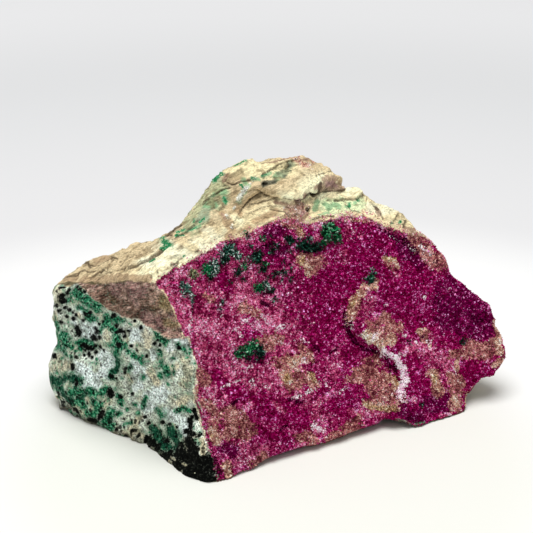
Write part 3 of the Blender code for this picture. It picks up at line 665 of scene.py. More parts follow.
def painted(count, ground, *layers):
    """A colour for each point: the ground, with each layer's colour and share laid on in turn."""
    colours = np.tile(srgb(*ground), (count, 1))
    for colour, share in layers:
        colours = laid_on(colours, colour, share)
    return colours


# ---------------------------------------------------------------- meshes


def evaluated(piece):
    """Gives a piece the mesh that its modifiers make."""
    graph = bpy.context.evaluated_depsgraph_get()
    made = bpy.data.meshes.new_from_object(piece.evaluated_get(graph))
    old = piece.data
    piece.modifiers.clear()
    piece.data = made
    bpy.data.meshes.remove(old)


def places_of(mesh):
    places = np.empty(len(mesh.vertices) * 3)
    mesh.vertices.foreach_get("co", places)
    return places.reshape(-1, 3) / MM


def normals_of(mesh):
    normals = np.empty(len(mesh.vertices) * 3)
    mesh.vertices.foreach_get("normal", normals)
    return normals.reshape(-1, 3)


def number_layer(mesh, name, values):
    layer = mesh.attributes.new(name, "FLOAT", "POINT")
    layer.data.foreach_set("value", values.astype(np.float32))


def colour_layer(mesh, name, colours):
    layer = mesh.attributes.new(name, "FLOAT_COLOR", "POINT")
    four = np.ones((len(colours), 4), dtype=np.float32)
    four[:, :3] = np.clip(colours, 0.0, 1.0)
    layer.data.foreach_set("color", four.ravel())


def new_object(name, data):
    made = bpy.data.objects.new(name, data)
    bpy.context.scene.collection.objects.link(made)
    return made


# ---------------------------------------------------------------- the rock


class Zones:
    """Which part of the rock's skin each point is on, in shares between 0 and 1: the druse, the mauve hollow, the
    break, the cream top, or the back. The brim is the strip of the back that lies under the druse's lower edge."""

    def __init__(self, points, normals):
        self.points = points
        self.pixels = seen(points)
        u, v = self.pixels.T
        facing = normals @ BACKWARD
        turned = normals @ FACE_NORMAL
        wobble = 1.6 * noise(points, 2.2, 3) + 1.0 * noise(points, 0.9, 4)
        self.front = smooth(0.0, 0.18, facing)
        self.back = 1.0 - self.front
        self.druse_depth = inside_by(self.pixels, DRUSE_EDGE) + wobble
        near = smooth(-0.05, 0.25, turned) * np.where(u > DRUSE_RIM_U, 1.0, smooth(0.0, 0.2, facing))
        self.druse = smooth(-0.6, 0.6, self.druse_depth) * near * (points[:, 1] < DRUSE_BACK)
        mauve_depth = inside_by(self.pixels, MAUVE_EDGE) + 0.8 * wobble
        self.mauve = smooth(-0.8, 0.8, mauve_depth) * self.front * (1.0 - self.druse)
        low_left = (v > BREAK_ALL_V) & (u < BREAK_ALL_U)
        broken = np.maximum(smooth(0.42, 0.62, normals @ BREAK_NORMAL), low_left)
        broken = broken * (1.0 - self.druse) * (1.0 - self.mauve)
        self.broken = broken * self.front * (v > BREAK_TOP_V)
        low_front = (points[:, 2] < BRIM_TOP) & (points[:, 1] < BRIM_BACK) & (facing > -0.5)
        self.brim = self.back * smooth(-0.3, 0.0, turned) * (self.druse_depth > -2.0) * low_front
        self.top = self.front * (1.0 - self.druse) * (1.0 - self.mauve) * (1.0 - self.broken)


def dense_rock():
    """The solid's shape, with points close enough together for fine relief and colour."""
    rock = new_object("matrix_rock", bpy.data.objects[NODE].data.copy())
    rock.data.materials.clear()
    grid = rock.modifiers.new("grid", "REMESH")
    grid.mode = "VOXEL"
    grid.voxel_size = ROCK_VOXEL * MM
    ease = rock.modifiers.new("ease", "SMOOTH")
    ease.factor = 0.5
    ease.iterations = 4
    evaluated(rock)
    thin_out(rock)
    rock.data.name = "matrix_rock"
    return rock


def thin_out(rock):
    """Takes points away where fine detail isn't needed: on the back, and under the crystals."""
    mesh = rock.data
    z = Zones(places_of(mesh), normals_of(mesh))
    group = rock.vertex_groups.new(name="coarse")
    coarse = np.where((z.back > 0.5) | (z.druse > 0.5))[0]
    group.add(coarse.tolist(), 1.0, "REPLACE")
    fewer = rock.modifiers.new("fewer", "DECIMATE")
    fewer.ratio = ROCK_TRIANGLES / (2 * len(mesh.polygons))
    fewer.vertex_group = "coarse"
    fewer.vertex_group_factor = 1.0
    evaluated(rock)
    rock.vertex_groups.clear()


def ledge(pixels, corners, rise, reach):
    """A step along a line: up on its left hand, and back down to nothing over the reach."""
    best = np.full(len(pixels), np.inf)
    height = np.zeros(len(pixels))
    for start, end in itertools.pairwise(np.array(corners, dtype=float)):
        step = end - start
        offset = off_line(pixels, start, end)
        away = np.linalg.norm(offset, axis=1)
        side = np.sign(step[1] * offset[:, 0] - step[0] * offset[:, 1])
        closer = away < best
        best[closer] = away[closer]
        up = smooth(-0.9, 0.9, away * side) * smooth(reach, 0.0, away * (side > 0))
        down = -0.3 * smooth(3.5, 0.5, away) * (side <= 0)
        height[closer] = (up + down)[closer]
    return rise * height * smooth(reach * 1.2, 0.0, best)


def rock_relief(z):
    """The fine relief on the solid's shape, in millimetres along the normal."""
    p = z.points
    bed = p @ BEDDING + 1.3 * noise(p, 9.0, 11) + 0.5 * noise(p, 3.0, 12)
    steps = 0.42 * (((bed / 2.1) % 1.0) ** 4 - 0.2) + 0.24 * (((bed / 0.85) % 1.0) ** 3 - 0.25)
    hackle = np.abs(noise(p, 2.6, 13)) + 0.5 * np.abs(noise(p, 1.3, 14))
    grain = 0.13 * noise(p, 0.9, 15)
    ridges = 0.24 * streaks(p, BED_RUN, 1.0, 5.0, 29)
    top = steps * smooth(-0.5, 0.4, noise(p, 7.0, 16)) + 0.4 * noise(p, 5.0, 17) - 0.3 * hackle + 0.2 + grain + ridges
    lumps, number = cell_noise(p, 2.3, 18)
    broken = 0.45 * noise(p, 4.2, 19) + 0.34 * noise(p, 1.9, 20) + 0.2 * noise(p, 0.95, 21)
    broken += 0.34 * smooth(0.5, 0.15, lumps) * (number - 0.35)
    mauve = 0.34 * noise(p, 4.5, 22) + 0.3 * streaks(p, MAUVE_GRAIN, 1.1, 4.0, 23) + 0.16 * noise(p, 1.3, 24) + grain
    back = 0.9 * rough_noise(p, 6.0, 25) + 0.6 * steps - 0.3 * hackle + grain
    height = z.top * top + z.broken * broken + z.mauve * mauve + z.back * back + z.druse * druse_relief(p)
    off_druse = z.front * (1.0 - z.druse)
    for rise, reach, *line in TOP_LEDGES:
        height += off_druse * ledge(z.pixels, line, rise, reach)
    height -= 0.26 * off_druse * smooth(-0.3, 0.7, marks(z.pixels, TOP_CRACKS))
    height -= 1.3 * z.top * smooth(0.0, 0.6, spots(z.pixels, TOP_HOLES))
    for amount, place in SWELLS:
        height += amount * smooth(0.0, 0.9, marks(z.pixels, [place]))
    return height


def druse_relief(p):
    """Low domes side by side, which are rougher towards the left."""
    near, _ = cell_noise(p, 2.4, 26)
    rough = 0.55 + 0.45 * smooth(12.0, -12.0, p[:, 0])
    return -0.42 + rough * (0.32 * (0.5 - near) + 0.22 * noise(p, 3.2, 27) + 0.16 * noise(p, 1.4, 28))


def cavity(mesh, points, normals):
    """How far each point lies below its neighbours, in millimetres. Ridges are negative."""
    ends = np.empty(len(mesh.edges) * 2, dtype=np.int32)
    mesh.edges.foreach_get("vertices", ends)
    ends = ends.reshape(-1, 2)
    around = points.copy()
    for _ in range(3):
        total = np.zeros_like(points)
        count = np.zeros(len(points))
        for a, b in ((0, 1), (1, 0)):
            for axis in range(3):
                total[:, axis] += np.bincount(ends[:, a], around[ends[:, b], axis], len(points))
            count += np.bincount(ends[:, a], minlength=len(points))
        around = total / np.maximum(count, 1)[:, None]
    return ((around - points) * normals).sum(axis=1)


def shoulder_share(z):
    """The low shoulder at the left end of the top, which is browner."""
    u, v = z.pixels.T
    return smooth(185.0, 150.0, u + 1.9 * (v - 252.0))


def top_colours(z):
    p = z.points
    shoulder = shoulder_share(z)
    # Painted light: the bright stretches are laid on paler, mostly where the wedge faces the lamp.
    bright = smooth(0.0, 0.5, spots(z.pixels, TOP_BRIGHTS)) * smooth(-0.7, 0.0, noise(p, 3.0, 36))
    colours = painted(
        len(p), (238, 222, 178),
        ((252, 246, 204), smooth(-0.1, 0.5, noise(p, 6.0, 31) + 0.4 * noise(p, 2.0, 30))),
        ((210, 190, 148), 0.5 * smooth(0.05, 0.55, streaks(p, BED_RUN, 2.2, 3.0, 32))),
        ((208, 186, 148), 0.8 * shoulder),
        ((252, 248, 214), 0.9 * bright),
        ((252, 240, 190), 0.7 * smooth(0.0, 0.5, spots(z.pixels, TOP_CREST))),
    )
    wobble = 0.4 * noise(p, 1.6, 33) + 0.3 * noise(p, 0.8, 34)
    for colour, places in TOP_MARKS:
        ragged = wobble * (0.5 if places[0][0] < THIN_MARK else 1.1)
        colours = laid_on(colours, colour, 0.85 * smooth(-0.12, 0.3, marks(z.pixels, places) + ragged))
    dirt = 0.6 * rough_noise(p, 1.5, 35, 2) + 0.5 * streaks(p, BED_RUN, 0.9, 4.0, 37) + 0.24 * shoulder
    return laid_on(colours, (140, 120, 88), 0.65 * smooth(0.3, 0.6, dirt))


def break_colours(z):
    p = z.points
    wobble = 0.45 * noise(p, 1.3, 41) + 0.35 * noise(p, 0.8, 42)
    pepper = noise(p, 0.9, 45) + 0.5 * noise(p, 2.8, 46)
    return painted(
        len(p), (198, 207, 186),
        ((234, 242, 228), smooth(-0.3, 0.4, rough_noise(p, 2.4, 43))),
        ((190, 178, 142), 0.6 * smooth(0.1, 0.5, rough_noise(p, 4.0, 44))),
        ((232, 245, 242), 0.85 * smooth(-0.2, 0.3, marks(z.pixels, BREAK_WHITES) + 0.7 * wobble)),
        ((216, 206, 174), 0.8 * smooth(-0.3, 0.6, marks(z.pixels, BREAK_TANS) + 1.4 * wobble)),
        ((94, 106, 86), 0.62 * smooth(0.1, 0.5, pepper)),
        ((196, 182, 146), 0.85 * smooth(0.0, 0.3, marks(z.pixels, BREAK_CHIPS) + 0.5 * wobble)),
    )


def mauve_colours(z):
    p = z.points
    grain = 0.7 * streaks(p, MAUVE_GRAIN, 1.1, 4.0, 50) + 0.8 * streaks(p, MAUVE_GRAIN, 0.85, 2.0, 54)
    olive = spots(z.pixels, [(168, 303, 14, 12), (172, 322, 12, 6)]) + 0.3 * noise(p, 1.5, 53)
    rim = spots(z.pixels, [(172, 335, 16, 3), (150, 325, 8, 2), (176, 320, 6, 2)])
    return painted(
        len(p), (132, 102, 88),
        ((184, 154, 140), smooth(0.0, 0.7, grain)),
        ((66, 46, 36), 0.85 * smooth(0.05, -0.7, grain)),
        ((142, 104, 104), 0.5 * smooth(-0.1, 0.4, noise(p, 4.0, 55))),
        ((94, 80, 58), 0.6 * smooth(0.1, 0.6, rough_noise(p, 2.0, 52))),
        ((116, 102, 66), 0.7 * smooth(-0.2, 0.5, olive)),
        ((176, 138, 124), 0.8 * smooth(0.0, 0.5, rim)),
    )


def back_colours(z):
    """The sides that the camera's own place doesn't show: matrix like the top's, stained in places."""
    p = z.points
    return painted(
        len(p), (200, 184, 144),
        ((232, 222, 184), smooth(-0.1, 0.6, rough_noise(p, 9.0, 61))),
        ((150, 124, 100), 0.85 * smooth(0.05, 0.45, rough_noise(p, 6.0, 62))),
        ((146, 154, 132), 0.8 * smooth(0.12, 0.45, rough_noise(p, 11.0, 63))),
        ((134, 172, 126), 0.8 * smooth(0.15, 0.4, back_stain(p))),
        ((104, 90, 68), 0.7 * smooth(0.25, 0.6, rough_noise(p, 1.6, 65, 2))),
    )


def back_stain(p):
    return rough_noise(p, 8.0, 64)


def druse_ground(z):
    """The crust's colour between its crystals, kept dark, partly as painted shade in the gaps."""
    wobble = 0.35 * noise(z.points, 2.0, 71)
    layers = [
        (colour, 0.8 * smooth(-0.15, 0.45, marks(z.pixels, DRUSE_PATCHES[name]) + wobble))
        for name, colour in GROUND_TONES.items()
    ]
    return painted(len(z.points), (74, 2, 34), *layers)


def green_field(z, wobble, dark, left):
    """How far each point lies within green crust, with 0 at its edge."""
    clean = smooth(-0.3, 0.3, marks(z.pixels, BREAK_WHITES))
    stray = 2.2 * (rough_noise(z.points, 1.7, 48, 2) - 0.56 + 0.1 * left - 0.3 * clean)
    on_break = np.maximum(np.maximum(marks(z.pixels, BREAK_GREENS) + wobble, dark), stray)
    under_tufts = [(0.8 * radius, *line) for _, radius, _, *line in TUFTS]
    on_druse = marks(z.pixels, under_tufts) + wobble
    on_top = marks(z.pixels, TOP_GREENS) + wobble
    on_back = 2.0 * (back_stain(z.points) + 0.35 * noise(z.points, 1.6, 57) - 0.42) - 3.0 * z.brim
    here = [z.back > 0.5, z.broken > 0.5, z.druse > 0.5, z.top > 0.5]
    return np.select(here, [on_back, on_break, on_druse, on_top], -1.0)


def black_field(z, wobble):
    """How far each point lies within black crust, with 0 at its edge."""
    blacks = [(width * (SMALL_BLACK_GAIN if width < SMALL_BLACK else 1.0), *line) for width, *line in BREAK_BLACKS]
    chips = smooth(-0.3, 0.3, marks(z.pixels, BREAK_CHIPS) + wobble)
    black = marks(z.pixels, blacks) + 0.35 * wobble - 2.0 * chips
    return np.where(z.broken + z.mauve > 0.4, black, -1.0)


def stain_fields(z):
    """The numbers that the rock's shader sharpens: how far each point lies within a stain or near a crack, with 0 at
    its edge; how thickly it is specked; and how strongly each of the shader's patterns shows."""
    p = z.points
    u, v = z.pixels.T
    wobble = 0.5 * noise(p, 1.3, 47) + 0.4 * noise(p, 0.8, 45)
    left = smooth(150.0, 80.0, u)
    dark = marks(z.pixels, BREAK_DARK_GREENS) + wobble
    foot = smooth(26.0, 0.0, np.abs(v - 425.0 - 0.35 * (u - 125.0)))  # a band along the break's lower edge
    fields = {
        "green": green_field(z, wobble, dark, left),
        "black": black_field(z, wobble),
        "crack": np.where((z.front > 0.5) & (z.druse < 0.5), marks(z.pixels, TOP_CRACKS), -2.0),
        "specks": z.broken * (0.3 + 0.25 * left + 0.6 * foot) + 0.14 * z.top + 0.2 * z.back + 0.12 * z.mauve,
        "deep": 0.65 * smooth(-0.2, 0.3, dark),
        "vivid": 0.5 * z.top,
        "mottle": 0.2 * z.top + z.broken + 0.5 * z.mauve + 0.4 * z.back + 0.5 * z.druse,
        "bedding": z.top,
        "fibre": z.mauve,
    }
    return {name: np.clip(values, -2.0, 2.0) for name, values in fields.items()}


def rock_colours(z, hollow):
    u, v = z.pixels.T
    parts = ((z.top, top_colours), (z.broken, break_colours), (z.mauve, mauve_colours), (z.back, back_colours),
             (z.druse, druse_ground))
    colours = sum(share[:, None] * colours_of(z) for share, colours_of in parts)
    # Painted shade: the lowest few millimetres of the rock, off the druse, are laid on dark brown where the floor's
    # contact shade falls.
    foot = smooth(2.6, 0.6, z.points[:, 2] + 0.8 * noise(z.points, 2.0, 38)) * (1.0 - z.druse)
    # Painted shade in the top's holes, which are laid on nearly black.
    holes = smooth(0.0, 0.3, spots(z.pixels, TOP_HOLES)) * z.top
    rim = smooth(1.6, 0.4, np.abs(z.druse_depth + 1.0)) * (1.0 - z.druse) * z.front
    rim *= (v > PALE_RIM_TOP) * (u < PALE_RIM_U) * (v < PALE_RIM_FOOT)
    for colour, share in (
        ((134, 66, 82), 0.85 * z.brim), ((70, 56, 42), 0.75 * foot), ((44, 38, 30), 0.9 * holes),
        ((230, 214, 178), 0.7 * rim),
    ):
        colours = laid_on(colours, colour, share)
    # Painted shade in the hollows and painted light on the ridges: the colours get darker where the skin lies below its
    # neighbours and lighter where it stands above them.
    shade = smooth(0.02, 0.2, hollow)
    lit = smooth(-0.02, -0.18, hollow)
    colours = colours * (1.0 - 0.6 * shade)[:, None]
    return colours + (0.15 * colours + 0.01) * lit[:, None]


def build_rock():
    rock = dense_rock()
    mesh = rock.data
    points, normals = places_of(mesh), normals_of(mesh)
    z = Zones(points, normals)
    low, high = np.array(cad_box) / MM
    points = np.clip(points + normals * rock_relief(z)[:, None], low, high)
    mesh.vertices.foreach_set("co", (points * MM).ravel())
    mesh.update()
    hollow = cavity(mesh, points, normals_of(mesh))
    colour_layer(mesh, "tint", rock_colours(z, hollow))
    for name, values in stain_fields(z).items():
        number_layer(mesh, name, values)
    mesh.shade_smooth()
    return rock, z


# ---------------------------------------------------------------- crystals


def rhomb():
    """A dolomite rhomb of edge about 1: a cube squashed along the diagonal that joins two of its corners."""
    corners = np.array(list(itertools.product((-0.5, 0.5), repeat=3)))
    diagonal = np.ones(3) / math.sqrt(3.0)
    corners -= np.outer(corners @ diagonal, diagonal) * (1.0 - RHOMB_SQUASH)
    faces = np.array([(0, 1, 3, 2), (4, 6, 7, 5), (0, 4, 5, 1), (2, 3, 7, 6), (0, 2, 6, 4), (1, 5, 7, 3)])
    return corners, faces


def three_round(radius, height):
    """Three corners about the Z axis."""
    return [(radius * math.cos(turn), radius * math.sin(turn), height) for turn in map(math.radians, (90, 210, 330))]


def spike():
    """A three-sided pyramid, as a rhomb's corner stands out of the crust. Its point is 1 above the crust."""
    corners = np.array(three_round(1.0, -0.7) + [(0.0, 0.0, 1.0)])
    return corners, np.array([(2, 1, 0), (0, 1, 3), (1, 2, 3), (2, 0, 3)])


def blade():
    """A three-sided splinter, which ends in a point. Its width and length are about 1."""
    corners = np.array(three_round(0.42, 0.0) + three_round(0.5, 0.6) + [(0.0, 0.0, 1.0)])
    sides = [(0, 1, 4), (0, 4, 3), (1, 2, 5), (1, 5, 4), (2, 0, 3), (2, 3, 5)]
    return corners, np.array([(2, 1, 0), *sides, (3, 4, 6), (4, 5, 6), (5, 3, 6)])


def random_turns(count, random):
    """Rotation matrices, none more likely than another."""
    q = random.normal(size=(count, 4))
    q /= np.linalg.norm(q, axis=1)[:, None]
    w, x, y, s = q.T
    rows = [
        [1 - 2 * (y * y + s * s), 2 * (x * y - s * w), 2 * (x * s + y * w)],
        [2 * (x * y + s * w), 1 - 2 * (x * x + s * s), 2 * (y * s - x * w)],
        [2 * (x * s - y * w), 2 * (y * s + x * w), 1 - 2 * (x * x + y * y)],
    ]
    return np.array(rows).transpose(2, 0, 1)


def outward_turns(facing, lean, random):
    """Rotations that carry Z near each facing direction, with any spin about it."""
    axes = facing + lean * random.normal(size=facing.shape)
    axes /= np.linalg.norm(axes, axis=1)[:, None]
    first = np.cross(axes, random.normal(size=axes.shape))
    first /= np.linalg.norm(first, axis=1)[:, None]
    return np.stack([first, np.cross(axes, first), axes], axis=2)


def crystal_piece(name, shape, centres, turns, sizes, colours, material, fade=(1.0, 1.0)):
    """One mesh of many crystals. Sizes are three numbers for each crystal. The fade is how bright a crystal is at its
    foot and at its tip: painted shade low down between the crystals, and painted light at their tips."""
    corners, faces = shape
    local = corners[None, :, :] * sizes[:, None, :]
    places = np.einsum("nij,nkj->nki", turns, local) + centres[:, None, :]
    places[:, :, 2] = np.maximum(places[:, :, 2], 0.0)  # none goes through the floor
    count, per = len(centres), len(corners)
    mesh = bpy.data.meshes.new(name)
    links = (faces[None, :, :] + (np.arange(count) * per)[:, None, None]).reshape(-1, faces.shape[1])
    mesh.vertices.add(count * per)
    mesh.vertices.foreach_set("co", (places * MM).ravel())
    mesh.loops.add(links.size)
    mesh.loops.foreach_set("vertex_index", links.ravel().astype(np.int32))
    mesh.polygons.add(len(links))
    mesh.polygons.foreach_set("loop_start", np.arange(0, links.size, faces.shape[1], dtype=np.int32))
    mesh.update(calc_edges=True)
    mesh.shade_flat()
    # Painted shade at each crystal's foot and painted light at its tip.
    shade = np.interp(corners[:, 2], (corners[:, 2].min(), corners[:, 2].max()), fade)
    colour_layer(mesh, "tint", (colours[:, None, :] * shade[None, :, None]).reshape(-1, 3))
    mesh.materials.append(material)
    return new_object(name, mesh)


def on_skin(mesh, weights, count, random):
    """Random points on a mesh's faces, as likely as the faces are large and their weight is."""
    mesh.calc_loop_triangles()
    corners = np.empty(len(mesh.loop_triangles) * 3, dtype=np.int32)
    mesh.loop_triangles.foreach_get("vertices", corners)
    corners = corners.reshape(-1, 3)
    points, normals = places_of(mesh), normals_of(mesh)
    a, b, c = (points[corners[:, k]] for k in range(3))
    area = np.linalg.norm(np.cross(b - a, c - a), axis=1) / 2
    chance = area * weights[corners].mean(axis=1)
    picked = random.choice(len(corners), size=count, p=chance / chance.sum())
    r, s = random.random(count), random.random(count)
    flip = r + s > 1
    r[flip], s[flip] = 1 - r[flip], 1 - s[flip]
    places = a[picked] + r[:, None] * (b - a)[picked] + s[:, None] * (c - a)[picked]
    facing = normals[corners[picked]].mean(axis=1)
    return places, facing / np.linalg.norm(facing, axis=1)[:, None]


def druse_tones(places, random):
    """The name of the tone that each crystal takes, by the patch it grows in."""
    count = len(places)
    pixels = seen(places)
    u, v = pixels.T
    wobble = 0.45 * noise(places, 2.4, 71) + 0.35 * noise(places, 1.0, 72)
    names = np.full(count, "magenta", dtype=object)
    rich = smooth(285.0, 360.0, u + 0.5 * (300.0 - v)) + 0.5 * noise(places, 5.0, 74)
    names[random.random(count) < rich * 0.95] = "deep"
    stray = smooth(0.2, 0.6, rough_noise(places, 3.5, 73))
    names[(names == "magenta") & (random.random(count) < stray * 0.6)] = "mixed"
    for name, (share, ragged) in PATCH_HOLD.items():
        depth = marks(pixels, DRUSE_PATCHES[name]) + wobble * ragged
        # The sparks, which are painted glints, take the white tone.
        tone = "white" if name == "sparks" else name
        names[random.random(count) < smooth(-0.15, 0.35, depth) * share] = tone
    near, number = cell_noise(places, 2.0, 75)
    pale = smooth(0.5, 0.2, near) * (number > 0.72) * smooth(340.0, 250.0, u)
    names[(names == "mixed") & (random.random(count) < pale)] = "pink"
    inside = inside_by(pixels, DRUSE_EDGE)
    rim = smooth(7.0, 0.0, inside) * (v < PINK_RIM_V) * (u < PINK_RIM_U)
    names[random.random(count) < 0.75 * rim] = "pink"
    outside = (inside < -1.0) & (v < STRAY_V)
    names[outside] = random.choice(["rose", "tan", "pink"], size=count, p=[0.5, 0.25, 0.25])[outside]
    return names


def tone_colours(names, places, random):
    """A colour for each crystal, from its tone's ramp. Light ones and dark ones keep together in patches and seams."""
    colours = np.zeros((len(names), 3))
    seams = 1.0 - 2.5 * np.abs(noise(places, 1.7, 77))
    cloud = 0.45 * noise(places, 2.8, 76) + 0.45 * seams + 0.3 * noise(places, 0.9, 78)
    speck = 0.55 * noise(places, 0.5, 79) + 0.65 * random.uniform(-1.0, 1.0, size=len(names))
    for name, ramp in TONES.items():
        here = np.where(names == name)[0]
        light = CLOUDS.get(name, USUAL_CLOUDS) * cloud + speck
        share = np.empty(len(here))
        share[np.argsort(light[here])] = (np.arange(len(here)) + 0.5) / max(len(here), 1)
        stops = np.array([srgb(*colour) for colour in ramp])
        for channel in range(3):
            colours[here, channel] = np.interp(share, RAMP_SHARES, stops[:, channel])
    return colours * DRUSE_GAIN * random.uniform(0.92, 1.08, size=len(names))[:, None]


def druse_layer(label, mesh, weights, count, sizes, whole, pieces, material, random):
    """Crystals scattered on the mesh, either whole or as corners that stand out of it."""
    places, facing = on_skin(mesh, weights, count, random)
    low, high = sizes
    size = low + (high - low) * random.beta(1.6, 3.0, size=count)
    colours = tone_colours(druse_tones(places, random), places, random)
    u, v = seen(places).T
    colours *= 1.0 - DARKER_SHARE * (smooth(*DARKER_V, v) * smooth(*DARKER_U, u))[:, None]
    if whole:
        turns = random_turns(count, random)
        places = places + facing * (size * random.uniform(-0.25, 0.25, size=count))[:, None]
        shape, length, fade = rhomb(), size, (1.0, 1.0)
    else:
        turns = outward_turns(facing, 0.32, random)
        places = places + facing * (size * random.uniform(-0.2, 0.35, size=count))[:, None]
        # The corners are painted darker at their feet and lighter at their tips: painted shade and painted light.
        shape, length, fade = spike(), size * random.uniform(0.7, 1.25, size=count), (0.55, 1.3)
    scales = np.stack([size, size, length], axis=1)
    kept = np.where(places[:, 2] > LOWEST_CRYSTAL)[0]
    kept = kept[np.argsort(places[kept, 0])]
    return [
        crystal_piece(f"{label}_{k + 1}", shape, places[part], turns[part], scales[part], colours[part], material, fade)
        for k, part in enumerate(np.array_split(kept, pieces))
    ]


def build_druse(mesh, z, crust, bright):
    random = np.random.default_rng(SEED)
    scattered = 0.24 * smooth(-8.0, -0.5, z.druse_depth) * z.top * (0.3 + smooth(-0.3, 0.5, noise(z.points, 2.0, 80)))
    weights = np.maximum(z.druse * (z.druse > 0.5), scattered)
    inner = z.druse * (z.druse_depth > 1.0)
    return [
        *druse_layer("druse_grains", mesh, weights, GRAINS, GRAIN_SIZES, False, GRAIN_PIECES, crust, random),
        *druse_layer("druse_rhombs", mesh, inner, RHOMBS, RHOMB_EDGES, True, 1, bright, random),
    ]


def skin_tree(mesh):
    corners = [vertex.co / MM for vertex in mesh.vertices]
    return BVHTree.FromPolygons(corners, [tuple(face.vertices) for face in mesh.polygons])


def hit(tree, u, v):
    """The point of the rock that the camera sees at a pixel, and its outward direction."""
    ahead = -BACKWARD + RIGHTWARD * (u - FRAME_PX / 2) / FOCAL_PX - UPWARD * (v - FRAME_PX / 2) / FOCAL_PX
    place, facing, _, _ = tree.ray_cast(Vector(CAMERA_PLACE), Vector(ahead).normalized())
    return (np.array(place), np.array(facing)) if place else (None, None)


def on_line(line, random):
    """A random point of a line."""
    along = random.random() * (len(line) - 1)
    first = min(int(along), max(len(line) - 2, 0))
    return line[first] + (along - first) * (line[min(first + 1, len(line) - 1)] - line[first])


def how_many(density, radius, line):
    """The number of crystals that a mark holds, at so many to a square millimetre."""
    reach = radius * MM_PER_PX
    run = sum(np.linalg.norm(b - a) for a, b in itertools.pairwise(line)) * MM_PER_PX
    return int(density * (math.pi * reach**2 + 2 * reach * run))


def build_top_crystals(tree, material):
    """Fine crystals on the cream rock, each a corner that stands out of it."""
    random = np.random.default_rng(SEED + 2)
    centres, facings, names = [], [], []
    for tone, density, (radius, *line) in TOP_CRYSTALS:
        line = np.array(line, dtype=float)
        for _ in range(how_many(density, radius, line)):
            place, facing = hit(tree, *(on_line(line, random) + radius * random.normal(size=2) * 0.55))
            if place is not None:
                centres.append(place)
                facings.append(facing)
                names.append(tone)
    centres, facings = np.array(centres), np.array(facings)
    turns = outward_turns(facings, 0.4, random)
    sizes = np.repeat(random.uniform(*TOP_CRYSTAL_SIZES, size=len(centres))[:, None], 3, axis=1)
    colours = tone_colours(np.array(names, dtype=object), centres, random)
    # Painted shade at the crystals' feet and painted light at their tips.
    return crystal_piece("matrix_crystals", spike(), centres, turns, sizes, colours, material, (0.6, 1.2))


def build_tufts(tree, material):
    """Malachite: tufts of small blades that stand out from the crust."""
    random = np.random.default_rng(SEED + 1)
    centres, axes, sizes, colours = [], [], [], []
    for kind, radius, height, *line in TUFTS:
        line = np.array(line, dtype=float)
        tones = np.array([srgb(*colour) for colour, _ in MALACHITE_TONES[kind]])
        shares = np.array([share for _, share in MALACHITE_TONES[kind]], dtype=float)
        for _ in range(how_many(BLADES_PER_MM2, radius, line)):
            out, way = math.sqrt(random.random()) * random.uniform(0.7, 1.2), random.uniform(0, 2 * math.pi)
            spot = on_line(line, random) + radius * out * np.array([math.cos(way), math.sin(way)])
            place, facing = hit(tree, *spot)
            if place is None:
                continue
            lift = max(height * (1.0 - out * out), 0.1) * random.uniform(0.0, 1.0)
            side = RIGHTWARD * math.cos(way) - UPWARD * math.sin(way)
            centres.append(place + facing * (lift - BLADE_FOOT))
            axes.append(facing + side * out * 1.1)
            sizes.append(random.uniform(BLADE_LEAST, BLADE_MOST))
            # Painted shade deep in the tuft and painted light at its top: blades that stand higher are lighter.
            light = 0.45 + 0.65 * lift / height
            colours.append(tones[random.choice(len(tones), p=shares / shares.sum())] * light)
    axes = np.array(axes)
    turns = outward_turns(axes / np.linalg.norm(axes, axis=1)[:, None], 0.5, random)
    crystals = (np.array(centres), turns, np.array(sizes), np.array(colours))
    # The blades are painted darker at the foot and lighter at the tip: painted shade and painted light.
    return crystal_piece("malachite_tufts", blade(), *crystals, material, (0.25, 1.7))


# ---------------------------------------------------------------- materials


